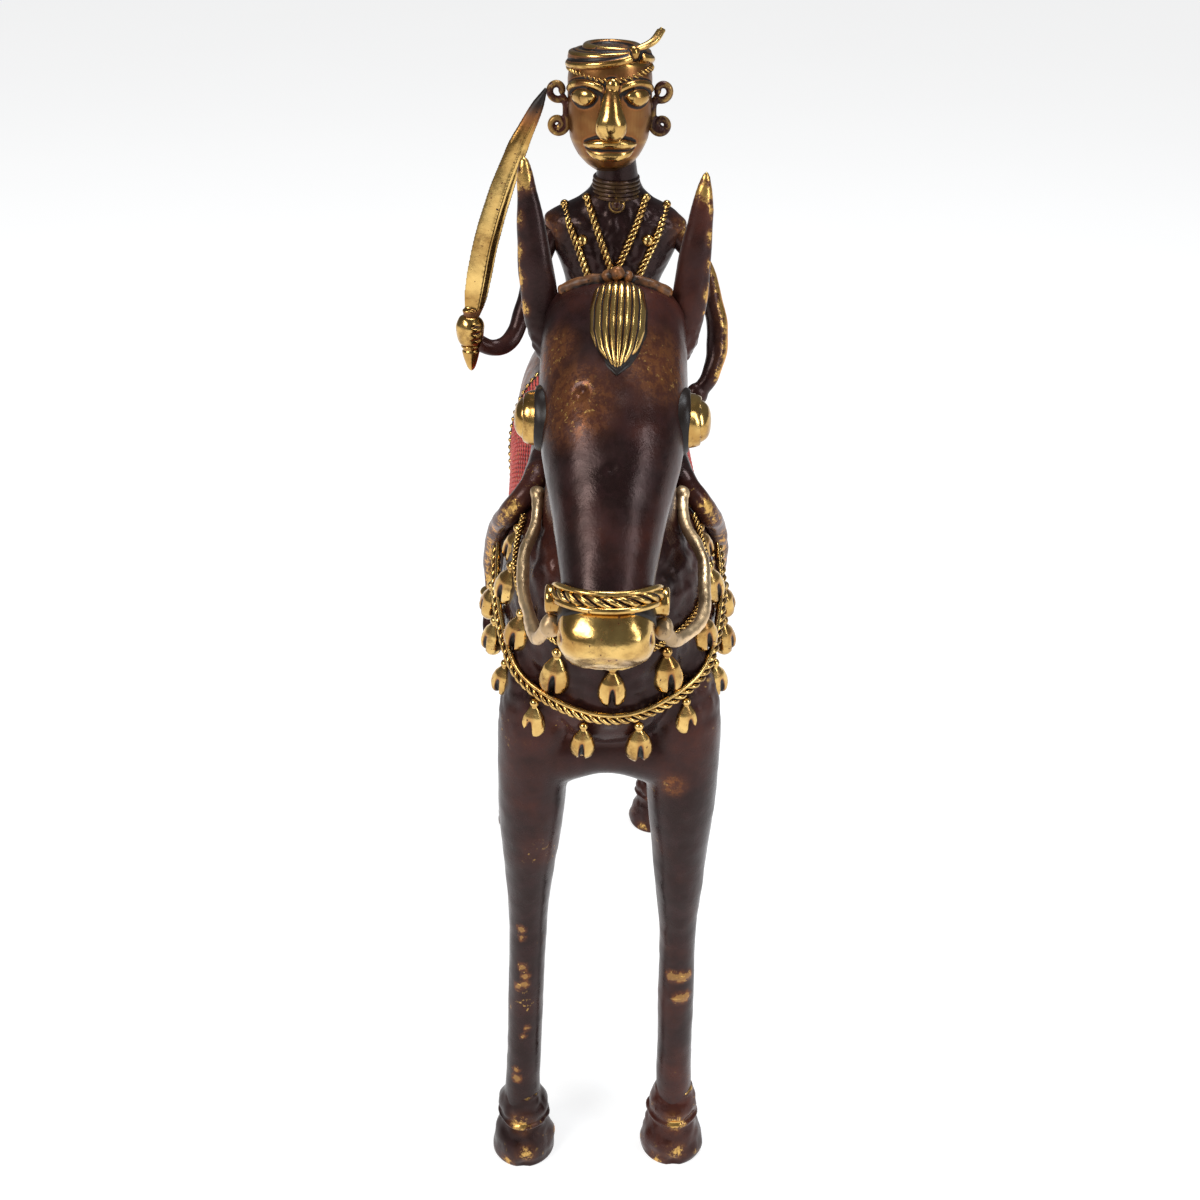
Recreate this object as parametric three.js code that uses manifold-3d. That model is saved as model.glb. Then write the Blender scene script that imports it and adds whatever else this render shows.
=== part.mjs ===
// Horse and rider figurine: a dark cast-brass horse with rope and cowrie trappings,
// and a rider with a raised sword who sits on a peg in the horse's back.
// Millimetres, +Z up. The horse looks along -Y, so its right side is -X.
// While it is modelled, y = 0 is the line through the front hooves and z = 0 the floor.
import * as THREE from 'three';
import { mergeVertices } from 'three/addons/utils/BufferGeometryUtils.js';
import Module from 'manifold-3d';

const wasm = await Module();
wasm.setup();

// Fit between neighbouring pieces
const joinGap = 0.3;
const seatEase = 0.2;

// Trunk
const chestOverhang = 14;
const rumpOverhang = 13;
const trunkLength = 178;
const trunkWidth = 51;
const trunkHeight = 61;
const backHeight = 195;
const trunkWall = 3;
const ventDiameter = 9;

// Legs and hooves
const stanceShift = -1.1;
const frontStance = 41.2;
const rearStance = 48.6;
const legTopInset = 8;
const legTopWidth = 16.4;
const shankWidth = 8.8;
const frontHock = 0.6;
const rearHock = 3.5;
const hoofDiameter = 16.4;
const hoofHeight = 12;
const fetlockDiameter = 14;
const fetlockHeight = 10;

// Neck and head
const neckWidth = 27;
const neckDepth = 32;
const neckSetBack = 10;
const neckRise = 40.3;
const pollSetBack = 5.6;
const headTilt = 44;
const headTurn = 3;
const headLength = 76;
const headWidth = 31;
const headDepth = 27;
const pollCap = 9.5;
const muzzleWidth = 18.6;
const muzzleDepth = 17;
const rightEarLength = 39;
const rightEarLean = 5.8;
const leftEarLength = 36.5;
const leftEarLean = 5;
const earWidth = 7.6;
const earThickness = 5;
const eyeDiameter = 14;
const eyeBulge = 5.6;
const eyeAlong = 22;
const eyeSink = 3;
const forelockLength = 21;
const forelockWidth = 11.6;
const forelockShift = 0.8;
const maneThickness = 4.4;
const maneRise = 4;
const maneOver = 4;
const maneFoot = 2;
const tailDrop = 82;
const tailThickness = 9;

// Straps, reins and breast collars
const strapThickness = 1.8;
const strapWidth = 4;
const strapAlong = -4.5;
const crestLobe = 2.4;
const muzzleLength = 8.5;
const nosebandWidth = 6;
const bossDiameter = 5.4;
const bossReach = 2.2;
const reinDiameter = 2.1;
const reinSpread = 19.4;
const reinDip = 7;
const reinSetBack = 12;
const reinOverString = 2.6;
const collarSetBack = 20;
const collarTilt = 36;
const ropeHeight = 174.5;
const ropeDiameter = 2.8;
const stringHeight = 191;
const stringDiameter = 1.6;
const dropWidth = 5.6;
const dropHeight = 7.2;
const dropThickness = 4;
const dropBelow = 9.4;
const beadDiameter = 2.2;
const dropPitch = 17;
const lowerDrops = 10;
const upperDrops = 9;
const ropeReach = 94;
const stringReach = 71;
const collarSteps = 24;

// Saddle cloth
const clothStart = 34;
const clothLength = 70;
const clothHem = 152;
const clothThickness = 1.5;
const borderWidth = 2;
const borderRise = 0.4;

// Rider
const riderSetBack = 60;
const pegDiameter = 8;
const pegDepth = 12;
const pegSocket = 10;
const sittingHeight = 49;
const riderLean = 1.9;
const shoulderWidth = 37;
const waistWidth = 22;
const hipWidth = 26;
const torsoDepth = 15;
const riderNeckLength = 11;
const riderNeckWidth = 9;
const riderHeadHeight = 26;
const riderHeadWidth = 19.4;
const riderHeadDepth = 18;
const riderHeadForward = 2;
const turbanSeat = 0.82;
const turbanHeight = 5;
const turbanFlare = 1.2;
const turbanTailRise = 5;
const turbanTailReach = 5.5;
const headbandDiameter = 1.9;
const earRingDiameter = 4.8;
const earringDiameter = 4.8;
const earringDrop = 7.8;
const earWire = 1.4;
const neckRingDiameter = 1.1;
const neckRingCount = 4;
const neckRoundness = 0.54;
const cordDiameter = 1.7;
const innerCordDrop = 16;
const outerCordDrop = 33;
const pendantDiameter = 3.6;
const studDiameter = 2.6;
const armDiameter = 4.2;
const armDrop = 4.5;
const elbowReach = 27;
const handForward = 14;
const handDrop = 41;
const handDiameter = 5.6;
const fistReach = 32.9;
const fistForward = 12;
const fistDrop = 26;
const fistHeight = 7.4;
const fistWidth = 6.6;
const swordLength = 52;
const swordLean = 18.4;
const bladeWidth = 6;
const bladeThickness = 1.7;
const pommelLength = 6.5;
const thighDiameter = 9;
const shinDiameter = 3.8;
const legClearance = 0.4;
const kneeDrop = 5.3;
const kneeForward = 40.5;
const kneeSpread = 18.2;
const ankleForward = 18;
const legDrop = 47;
const footLength = 10;
const ankletDiameter = 6.6;
const ankletHeight = 3;

// Frame axes
const axisX = new THREE.Vector3(1, 0, 0);
const axisY = new THREE.Vector3(0, 1, 0);
const axisZ = new THREE.Vector3(0, 0, 1);

// Places worked out from the sizes above
const trunkFront = -chestOverhang;
const trunkRear = trunkFront + trunkLength;
const trunkZ = backHeight - trunkHeight / 2;
const bellyZ = backHeight - trunkHeight;
const pollHeight = backHeight + neckRise;
const nosebandStart = headLength - muzzleLength - nosebandWidth;
const rearLegY = trunkRear - rumpOverhang;
const fetlockTop = hoofHeight + fetlockHeight;
const seatZ = backHeight + joinGap + clothThickness + joinGap;
const shoulderZ = seatZ + sittingHeight;
const chinZ = shoulderZ + riderNeckLength;
const riderHeadY = riderSetBack - riderHeadForward;

// Turn a closed geometry into a solid, dropping the triangles that collapse at poles.
function solid(geometry) {
  const shape = new THREE.BufferGeometry();
  shape.setAttribute('position', geometry.getAttribute('position'));
  shape.setIndex(geometry.index);
  const merged = mergeVertices(shape, 1e-4);
  const index = merged.index.array;
  const kept = [];
  for (let i = 0; i < index.length; i += 3) {
    const [a, b, c] = [index[i], index[i + 1], index[i + 2]];
    if (a !== b && b !== c && c !== a) kept.push(a, b, c);
  }
  const vertProperties = new Float32Array(merged.getAttribute('position').array);
  const triVerts = new Uint32Array(kept);
  return new wasm.Manifold(new wasm.Mesh({ numProp: 3, vertProperties, triVerts }));
}

function geometryOf(body) {
  const { vertProperties, triVerts } = body.getMesh();
  const geometry = new THREE.BufferGeometry();
  geometry.setAttribute('position', new THREE.BufferAttribute(new Float32Array(vertProperties), 3));
  geometry.setIndex(new THREE.BufferAttribute(new Uint32Array(triVerts), 1));
  geometry.computeVertexNormals();
  return geometry;
}

function joined(bodies) {
  return bodies.reduce((sum, body) => sum.add(body));
}

function cutBy(body, cutters) {
  return cutters.reduce((left, cutter) => left.subtract(cutter), body);
}

function point(x, y, z) {
  return new THREE.Vector3(x, y, z);
}

function station(at, wide, deep = wide) {
  return { at, wide, deep };
}

// A rounded section swept along a smooth curve through stations: wide along the side
// vector, deep across it. grow swells the whole form by a clearance.
function sweep(stations, { side = axisX, sides = 12, perSpan = 1, grow = 0, power = 2 } = {}) {
  const path = new THREE.CatmullRomCurve3(stations.map((s) => s.at), false, 'centripetal');
  const sizes = stations.map((s) => point(s.wide, s.deep, 0));
  const size = new THREE.CatmullRomCurve3(sizes, false, 'centripetal');
  const geometry = new THREE.CylinderGeometry(1, 1, 1, sides, (stations.length - 1) * perSpan);
  const position = geometry.getAttribute('position');
  const unit = new THREE.Vector3();
  const bent = (value) => Math.sign(value) * Math.abs(value) ** (2 / power);
  for (let i = 0; i < position.count; i += 1) {
    unit.fromBufferAttribute(position, i);
    const t = Math.min(Math.max(0.5 - unit.y, 0), 1);
    const tangent = path.getTangent(t);
    const across = side.clone().addScaledVector(tangent, -side.dot(tangent)).normalize();
    const over = tangent.clone().cross(across);
    const half = size.getPoint(t);
    const end = t === 0 ? -grow : t === 1 ? grow : 0;
    const place = path.getPoint(t).addScaledVector(tangent, end);
    place.addScaledVector(across, bent(unit.x) * (half.x + grow));
    place.addScaledVector(over, bent(unit.z) * (half.y + grow));
    position.setXYZ(i, place.x, place.y, place.z);
  }
  return solid(geometry);
}

function rod(points, diameter, { side = axisZ, sides = 8, perSpan = 2 } = {}) {
  const stations = points.map((at) => station(at, diameter / 2));
  return sweep(stations, { side, sides, perSpan });
}

function box(low, high, matrix = new THREE.Matrix4()) {
  const size = high.clone().sub(low);
  const geometry = new THREE.BoxGeometry(size.x, size.y, size.z);
  const middle = low.clone().add(high).multiplyScalar(0.5);
  geometry.translate(middle.x, middle.y, middle.z);
  return solid(geometry.applyMatrix4(matrix));
}

function ball(at, width, depth = width, height = width, { sides = 10, rings = 6, matrix = null } = {}) {
  const geometry = new THREE.SphereGeometry(0.5, sides, rings);
  geometry.rotateX(Math.PI / 2);
  geometry.scale(width, depth, height);
  if (matrix) geometry.applyMatrix4(matrix);
  geometry.translate(at.x, at.y, at.z);
  return solid(geometry);
}

function disc(from, to, diameter, sides = 12) {
  const length = from.distanceTo(to);
  const geometry = new THREE.CylinderGeometry(diameter / 2, diameter / 2, length, sides);
  const direction = to.clone().sub(from).normalize();
  geometry.applyQuaternion(new THREE.Quaternion().setFromUnitVectors(axisY, direction));
  const middle = from.clone().add(to).multiplyScalar(0.5);
  geometry.translate(middle.x, middle.y, middle.z);
  return solid(geometry);
}

// A turned form that stands on z = 0: each row is a radius and a height.
function turned(rows, at, sides = 12) {
  const profile = rows.map(([radius, height]) => new THREE.Vector2(radius, height));
  const geometry = new THREE.LatheGeometry(profile, sides);
  geometry.rotateX(Math.PI / 2);
  geometry.translate(at.x, at.y, at.z);
  return solid(geometry);
}

// The outermost point of a skin along a ray.
function outermost(skin, from, direction) {
  const hits = new THREE.Raycaster(from, direction.clone().normalize()).intersectObject(skin);
  return hits[hits.length - 1].point;
}

function skinOf(body) {
  return new THREE.Mesh(geometryOf(body), new THREE.MeshBasicMaterial({ side: THREE.DoubleSide }));
}

// Finishes
const darkBrass = { color: 0x2a1512, roughness: 0.34, metalness: 0.75 };
const brightBrass = { color: 0xc9963c, roughness: 0.28, metalness: 1 };
const greyBrass = { color: 0x8a6f45, roughness: 0.42, metalness: 0.9 };
const redPaint = { color: 0xa3271f, roughness: 0.62, metalness: 0 };
const bakedClay = { color: 0x6b4a36, roughness: 0.95, metalness: 0 };

const figurine = new THREE.Group();
const horse = new THREE.Group();
const rider = new THREE.Group();
figurine.add(horse, rider);

function addPiece(group, name, body, finish) {
  const mesh = new THREE.Mesh(geometryOf(body), new THREE.MeshStandardMaterial(finish));
  mesh.name = name;
  group.add(mesh);
}

// The ears were made by hand and differ in height and lean.
const sidesOfBody = [
  { name: 'right', sign: -1, earLength: rightEarLength, earLean: rightEarLean },
  { name: 'left', sign: 1, earLength: leftEarLength, earLean: leftEarLean },
];

// Trunk: a barrel along Y, fuller at the chest and rump than at the girth
function trunkForm(grow) {
  const rows = [
    [0, 0.2, 0.45],
    [0.02, 0.52, 0.74],
    [0.06, 0.8, 0.92],
    [0.12, 0.95, 1],
    [0.2, 1, 1],
    [0.34, 0.92, 0.96],
    [0.55, 0.92, 0.95],
    [0.78, 0.96, 0.97],
    [0.9, 0.9, 0.92],
    [0.97, 0.66, 0.68],
    [1, 0.28, 0.3],
  ];
  const stations = rows.map(([share, wide, deep]) => {
    const y = trunkFront - grow + share * (trunkLength + 2 * grow);
    return station(point(0, y, trunkZ), (wide * trunkWidth) / 2 + grow, (deep * trunkHeight) / 2 + grow);
  });
  return sweep(stations, { sides: 16, power: 2.3 });
}

const trunkOutside = trunkForm(0);
const trunkJoint = trunkForm(joinGap);
const trunkHollow = trunkForm(-trunkWall);
const ventY = (trunkFront + trunkRear) / 2;
const vent = disc(point(0, ventY, bellyZ - 1), point(0, ventY, trunkZ), ventDiameter);
const pegEndZ = backHeight - pegDepth;
const pegTopZ = seatZ + pegSocket;
const pegHole = disc(
  point(0, riderSetBack, pegEndZ - joinGap),
  point(0, riderSetBack, pegTopZ + joinGap),
  pegDiameter + 2 * joinGap,
);
addPiece(horse, 'trunk', cutBy(trunkOutside, [trunkHollow, vent, pegHole]), darkBrass);
addPiece(horse, 'clay_core', trunkForm(-trunkWall - joinGap).subtract(pegHole), bakedClay);

// Legs: front pair straight, rear pair with a slight hock
function legForm(sign, stance, y, hock, grow = 0) {
  const footX = stanceShift + (sign * stance) / 2;
  const topX = sign * (trunkWidth / 2 - legTopInset);
  const foot = fetlockTop + joinGap;
  const thick = legTopWidth / 2;
  const thin = shankWidth / 2;
  const place = (share, bend) => {
    const x = footX + (topX - footX) * share;
    return point(x, y + bend * hock, foot + (bellyZ - foot) * share);
  };
  const stations = [
    station(place(-0.02, 0), thin * 1.03, thin * 1.06),
    station(place(0.22, 0.5), thin, thin * 1.05),
    station(place(0.5, 1), thin * 1.04, thin * 1.2),
    station(place(0.66, 0.4), thick * 0.68, thick * 0.78),
    station(place(0.86, -0.8), thick * 0.93, thick * 0.98),
    station(place(1.04, -1.4), thick, thick),
    station(place(1.26, -1.6), thick * 0.8, thick * 0.8),
  ];
  return sweep(stations, { sides: 10, grow });
}

// Head frame: x across, y up from the face, z along the nose from the poll
const tilt = THREE.MathUtils.degToRad(headTilt);
const turn = THREE.MathUtils.degToRad(-headTurn);
const acrossHead = axisX.clone().applyAxisAngle(axisZ, turn);
const alongHead = point(0, -Math.cos(tilt), -Math.sin(tilt)).applyAxisAngle(axisZ, turn);
const upFromHead = acrossHead.clone().cross(alongHead).negate();
const poll = point(0, pollSetBack, pollHeight);
const headFrame = new THREE.Matrix4().makeBasis(acrossHead, upFromHead, alongHead).setPosition(poll);

function onHead(x, up, along) {
  return point(x, up, along).applyMatrix4(headFrame);
}

// Head: a long wedge that narrows from the brow to a rounded muzzle
function headForm(grow) {
  const brow = headWidth / 2;
  const nose = muzzleWidth / 2;
  const browDeep = headDepth / 2;
  const noseDeep = muzzleDepth / 2;
  const width = (share) => nose + share * (brow - nose);
  const depth = (share) => noseDeep + share * (browDeep - noseDeep);
  const stations = [
    station(onHead(0, 0, -pollCap), brow * 0.25, browDeep * 0.3),
    station(onHead(0, 0, -0.75 * pollCap), brow * 0.72, browDeep * 0.6),
    station(onHead(0, 0, 0), brow * 0.98, browDeep * 0.96),
    station(onHead(0, 0, 0.2 * headLength), brow, browDeep),
    station(onHead(0, 0, 0.37 * headLength), width(0.9), depth(0.93)),
    station(onHead(0, 0, 0.6 * headLength), width(0.36), depth(0.45)),
    station(onHead(0, 0, 0.77 * headLength), width(0.02), depth(0.12)),
    station(onHead(0, 0, 0.92 * headLength), nose, noseDeep * 0.94),
    station(onHead(0, 0, 0.98 * headLength), nose * 0.74, noseDeep * 0.68),
    station(onHead(0, 0, headLength), nose * 0.3, noseDeep * 0.28),
  ];
  return sweep(stations, { side: acrossHead, sides: 14, grow, power: 2.2 });
}

function headSlab(start, end) {
  const reach = headWidth + headDepth;
  return box(point(-reach, -reach, start), point(reach, reach, end), headFrame);
}

const headWhole = headForm(0);
const headJoint = headForm(joinGap);
const headJointSkin = skinOf(headJoint);
const muzzleStart = nosebandStart + nosebandWidth;
const muzzle = headWhole.intersect(headSlab(muzzleStart, headLength + pollCap));
const headBody = headWhole.subtract(headSlab(muzzleStart - joinGap, headLength + pollCap));

// Neck: upright, from the shoulders to the poll
function neckForm(grow) {
  const foot = trunkZ + trunkHeight * 0.12;
  const rise = pollHeight - foot;
  const wide = neckWidth / 2;
  const deep = neckDepth / 2;
  const stations = [
    station(point(0, neckSetBack, foot), wide * 1.5, deep * 1.35),
    station(point(0, neckSetBack, foot + rise * 0.33), wide * 1.12, deep * 1.1),
    station(point(0, neckSetBack - 1, foot + rise * 0.66), wide, deep * 0.97),
    station(point(0, pollSetBack + 2, pollHeight), wide * 0.9, deep * 0.75),
  ];
  return sweep(stations, { sides: 14, perSpan: 2, grow });
}

const neckJoint = neckForm(joinGap);
const neckBody = cutBy(neckForm(0), [trunkJoint, headJoint]);
const foreLegs = sidesOfBody.map(({ sign }) => legForm(sign, frontStance, 0, frontHock));
const horseSkin = skinOf(joined([trunkOutside, neckForm(0), ...foreLegs]));
addPiece(horse, 'neck', neckBody, darkBrass);

// Ears: tall leaves that rise beside the poll with their outer edge upright
function earForm({ sign, earLength, earLean }) {
  const root = point(sign * headWidth * 0.42, pollSetBack - 1, pollHeight - 5);
  const lean = (share, wide, thick) => {
    const x = root.x + sign * earLean * share ** 0.6;
    const at = point(x, root.y + 2 * share, root.z + earLength * share);
    return station(at, (wide * earWidth) / 2, (thick * earThickness) / 2);
  };
  const stations = [
    lean(0, 0.8, 1),
    lean(0.25, 1, 1),
    lean(0.5, 0.92, 0.85),
    lean(0.78, 0.6, 0.6),
    lean(0.94, 0.32, 0.36),
    lean(1, 0.14, 0.16),
  ];
  return sweep(stations, { sides: 8 });
}

// Eyes: domes with a raised ring on the sides of the head
function eyeForm(sign) {
  const rim = eyeDiameter / 2;
  const rows = [
    [0, -eyeSink],
    [rim, -eyeSink],
    [rim, eyeBulge * 0.5],
    [rim * 0.72, eyeBulge * 0.62],
    [rim * 0.52, eyeBulge * 0.9],
    [0, eyeBulge],
  ];
  const profile = rows.map(([radius, height]) => new THREE.Vector2(radius, height));
  const geometry = new THREE.LatheGeometry(profile, 12);
  const outward = acrossHead.clone().multiplyScalar(sign);
  geometry.applyQuaternion(new THREE.Quaternion().setFromUnitVectors(axisY, outward));
  const seat = onHead(sign * (headWidth / 2 - 1), 0, eyeAlong);
  geometry.translate(seat.x, seat.y, seat.z);
  return solid(geometry);
}

for (const side of sidesOfBody) {
  addPiece(horse, `ear_${side.name}`, cutBy(earForm(side), [headJoint, neckJoint]), darkBrass);
  addPiece(horse, `eye_${side.name}`, eyeForm(side.sign).subtract(headJoint), brightBrass);
}
addPiece(horse, 'horse_head', headBody, darkBrass);
addPiece(horse, 'muzzle', muzzle, brightBrass);

// Crown strap: a band over the poll with a crest of three lobes
const strapShell = headForm(joinGap + strapThickness).subtract(headJoint);
const strapReach = headWidth * 0.36;
const strapRoom = box(
  point(-strapReach, 0, strapAlong - strapWidth / 2),
  point(strapReach, headDepth, strapAlong + strapWidth / 2),
  headFrame,
);
const crestSeat = outermost(headJointSkin, onHead(0, 0, strapAlong), upFromHead);
const crest = [-1, 0, 1].map((lobe) => {
  const rise = strapThickness + (lobe === 0 ? 0.7 : 0) * crestLobe;
  const at = crestSeat.clone().addScaledVector(upFromHead, rise);
  at.x += lobe * crestLobe * 0.8;
  return ball(at, crestLobe * 1.2, crestLobe * 1.2, crestLobe * 1.3, { sides: 8, rings: 5 });
});
const strapBody = strapShell.intersect(strapRoom);
addPiece(horse, 'crown_strap', cutBy(joined([strapBody, ...crest]), [headJoint, neckJoint]), brightBrass);

// Forelock: a pointed lock that lies on the brow below the strap
const forelockTop = strapAlong + strapWidth / 2 + joinGap;
function forelockForm() {
  const lie = (share, wide, thick) => {
    const along = forelockTop + share * forelockLength;
    const seat = outermost(headJointSkin, onHead(forelockShift, 0, along), upFromHead);
    return station(seat, (wide * forelockWidth) / 2, thick);
  };
  const stations = [
    lie(0, 0.62, 1.6),
    lie(0.22, 0.95, 2.4),
    lie(0.5, 1, 2.4),
    lie(0.78, 0.66, 2),
    lie(1, 0.12, 1),
  ];
  return sweep(stations, { sides: 10 });
}
const strapCut = headForm(joinGap + strapThickness + joinGap).intersect(headSlab(-pollCap, forelockTop));
addPiece(horse, 'forelock', cutBy(forelockForm(), [headJoint, strapCut]), brightBrass);

// Mane: a ridge down the back of the neck
const ridgeSkin = skinOf(joined([neckForm(0), headWhole]));
function maneForm() {
  const ridge = (share, swell) => {
    const height = pollHeight + maneOver - share * (neckRise - maneFoot);
    const from = point(0, neckSetBack, height);
    const seat = outermost(ridgeSkin, from, axisY);
    return station(seat, (swell * maneThickness) / 2, swell * maneRise);
  };
  const stations = [
    ridge(0, 0.6),
    ridge(0.15, 0.85),
    ridge(0.3, 1),
    ridge(0.48, 1),
    ridge(0.65, 1),
    ridge(0.82, 0.9),
    ridge(1, 0.7),
  ];
  return sweep(stations, { sides: 6 });
}

// Saddle cloth and its border, shells that follow the trunk
const clothRise = joinGap + clothThickness;
const clothEnd = clothStart + clothLength;
function clothRoom(extra) {
  const reach = trunkWidth;
  const low = point(-reach, clothStart - extra, clothHem - extra);
  return box(low, point(reach, clothEnd + extra, backHeight + reach));
}
const clothShell = trunkForm(clothRise).subtract(trunkJoint);
const clothBody = clothShell.intersect(clothRoom(0));
const borderShell = trunkForm(clothRise + borderRise).subtract(trunkJoint);
const borderBody = borderShell.intersect(clothRoom(borderWidth)).subtract(clothRoom(joinGap));
const borderCut = trunkForm(clothRise + borderRise + joinGap).intersect(clothRoom(borderWidth + joinGap));
addPiece(horse, 'saddle_cloth', cutBy(clothBody, [neckJoint, pegHole]), redPaint);
addPiece(horse, 'cloth_border', cutBy(borderBody, [neckJoint]), brightBrass);
const maneCuts = [neckJoint, headJoint, trunkJoint, borderCut];
addPiece(horse, 'mane', cutBy(maneForm(), maneCuts), darkBrass);

// Hooves: turned feet with a fetlock ring above
function hoofForm(x, y) {
  const hoof = hoofDiameter / 2;
  const ring = fetlockDiameter / 2;
  const rows = [
    [0, 0],
    [hoof * 0.96, 0],
    [hoof, hoofHeight * 0.12],
    [hoof * 0.94, hoofHeight * 0.55],
    [hoof * 0.74, hoofHeight * 0.96],
    [ring * 0.84, hoofHeight],
    [ring, hoofHeight + fetlockHeight * 0.25],
    [ring * 0.96, hoofHeight + fetlockHeight * 0.55],
    [ring * 0.76, fetlockTop],
    [0, fetlockTop],
  ];
  return turned(rows, point(x, y, 0));
}

const fetlockRoom = box(
  point(-trunkWidth, trunkFront - trunkWidth, 0),
  point(trunkWidth, trunkRear + trunkWidth, fetlockTop + joinGap),
);
const legPairs = [
  { end: 'front', stance: frontStance, y: 0, hock: frontHock },
  { end: 'rear', stance: rearStance, y: rearLegY, hock: rearHock },
];
for (const { end, stance, y, hock } of legPairs) {
  for (const { name, sign } of sidesOfBody) {
    const leg = cutBy(legForm(sign, stance, y, hock), [trunkJoint, fetlockRoom]);
    addPiece(horse, `leg_${end}_${name}`, leg, darkBrass);
    addPiece(horse, `hoof_${end}_${name}`, hoofForm(stanceShift + (sign * stance) / 2, y), darkBrass);
  }
}

// Tail: a plait that leaves the top of the rump and hangs behind it
function tailForm() {
  const thick = tailThickness / 2;
  const rootZ = trunkZ + trunkHeight * 0.24;
  const stations = [
    station(point(0, trunkRear - 10, rootZ), thick * 0.8),
    station(point(0, trunkRear + 3, rootZ - 2), thick * 0.9),
    station(point(0, trunkRear + 7, rootZ - tailDrop * 0.25), thick),
    station(point(0, trunkRear + 6, rootZ - tailDrop * 0.6), thick * 1.05),
    station(point(0, trunkRear + 5, rootZ - tailDrop * 0.9), thick * 0.7),
    station(point(0, trunkRear + 5, rootZ - tailDrop), thick * 0.3),
  ];
  return sweep(stations, { sides: 8 });
}
addPiece(horse, 'tail', tailForm().subtract(trunkJoint), darkBrass);

// Noseband: a shell round the nose with a boss at each side for a rein
const bandRise = joinGap + strapThickness;
const bandShell = headForm(bandRise).intersect(headSlab(nosebandStart, muzzleStart)).subtract(headJoint);
const bossAlong = nosebandStart + nosebandWidth / 2;
function bossFace(sign) {
  const out = acrossHead.clone().multiplyScalar(sign);
  const seat = outermost(headJointSkin, onHead(0, 0, bossAlong), out);
  return seat.addScaledVector(out, strapThickness + bossReach);
}
const bosses = sidesOfBody.map(({ sign }) => {
  return disc(onHead(0, 0, bossAlong), bossFace(sign), bossDiameter);
});
addPiece(horse, 'noseband', joined([bandShell, ...bosses]).subtract(headJoint), brightBrass);

// Reins: stiff rods from the bosses, out past the cheeks and back along the neck
function reinForm(sign) {
  const start = bossFace(sign);
  start.x += sign * (joinGap + reinDiameter / 2);
  const neckSide = (y, z) => {
    const seat = outermost(horseSkin, point(0, y, z), point(sign, 0, 0));
    seat.x += sign * (joinGap + reinDiameter / 2);
    return seat;
  };
  const back = (share) => start.y + share * (reinSetBack - start.y);
  const endZ = stringHeight + reinOverString;
  const level = (share, dips) => start.z + share * (endZ - start.z) - dips * reinDip;
  const points = [
    start,
    point(start.x + sign * joinGap, back(0.09), level(0, 1)),
    point(sign * reinSpread * 0.92, back(0.27), level(0.1, 0.96)),
    point(sign * reinSpread, back(0.47), level(0.4, 0.97)),
    point(sign * reinSpread, back(0.64), level(0.8, 0.8)),
    neckSide(back(0.85), level(0.9, 0.47)),
    neckSide(reinSetBack, level(1, 0)),
  ];
  return rod(points, reinDiameter, { sides: 6 });
}
for (const { name, sign } of sidesOfBody) {
  const rein = cutBy(reinForm(sign), [neckJoint, trunkJoint, borderCut]);
  addPiece(horse, `rein_${name}`, rein, greyBrass);
}

// Breast collars: tilted rings on the horse's skin, with cowrie drops hung from beads
const ringTilt = THREE.MathUtils.degToRad(collarTilt);
const aheadInRing = point(0, -Math.cos(ringTilt), -Math.sin(ringTilt));
const seatLift = joinGap + seatEase;
const foreLegJoints = sidesOfBody.map(({ sign }) => legForm(sign, frontStance, 0, frontHock, joinGap));

function collarPoint(height, angle, lift) {
  const ray = aheadInRing.clone().multiplyScalar(Math.cos(angle));
  ray.addScaledVector(axisX, Math.sin(angle));
  const seat = outermost(horseSkin, point(0, collarSetBack, height), ray);
  return seat.addScaledVector(ray, lift);
}

// A cowrie drop: a bead on a short neck, then the shell, hung down the skin from its cord
function cowrieDrop(height, angle) {
  const hang = (below, wide, deep) => {
    const at = collarPoint(height - below, angle, seatLift + deep);
    return station(at, wide, deep);
  };
  const bead = beadDiameter / 2;
  const shell = dropWidth / 2;
  const full = dropThickness / 2;
  const top = dropBelow - dropHeight / 2;
  const stations = [
    hang(0, bead * 0.6, bead * 0.6),
    hang(top * 0.6, bead, bead),
    hang(top, bead * 0.7, bead * 0.7),
    hang(top + dropHeight * 0.25, shell * 0.85, full * 0.9),
    hang(top + dropHeight * 0.6, shell, full),
    hang(top + dropHeight, shell * 0.35, full * 0.4),
  ];
  const side = axisX.clone().multiplyScalar(Math.cos(angle));
  side.addScaledVector(aheadInRing, -Math.sin(angle));
  return sweep(stations, { side, sides: 6 });
}

function collarForm(height, diameter, count, reach) {
  const pitch = THREE.MathUtils.degToRad(dropPitch);
  const end = THREE.MathUtils.degToRad(reach);
  const route = Array.from({ length: collarSteps + 1 }, (_, i) => {
    return collarPoint(height, -end + (2 * end * i) / collarSteps, seatLift + diameter / 2);
  });
  const side = point(0, -aheadInRing.z, aheadInRing.y);
  const line = rod(route, diameter, { side, sides: 6, perSpan: 1 });
  const drops = Array.from({ length: count }, (_, i) => cowrieDrop(height, (i - (count - 1) / 2) * pitch));
  return cutBy(joined([line, ...drops]), [trunkJoint, ...foreLegJoints]);
}
const breastRope = collarForm(ropeHeight, ropeDiameter, lowerDrops, ropeReach);
const breastString = collarForm(stringHeight, stringDiameter, upperDrops, stringReach);
addPiece(horse, 'breast_rope', breastRope, brightBrass);
addPiece(horse, 'breast_string', breastString, brightBrass);

// Rider's torso with the neck, seated on the cloth over the peg
const clothTop = trunkForm(clothRise + joinGap);

function leanAt(share) {
  return riderLean * Math.min(Math.max(share, 0), 1);
}

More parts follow.
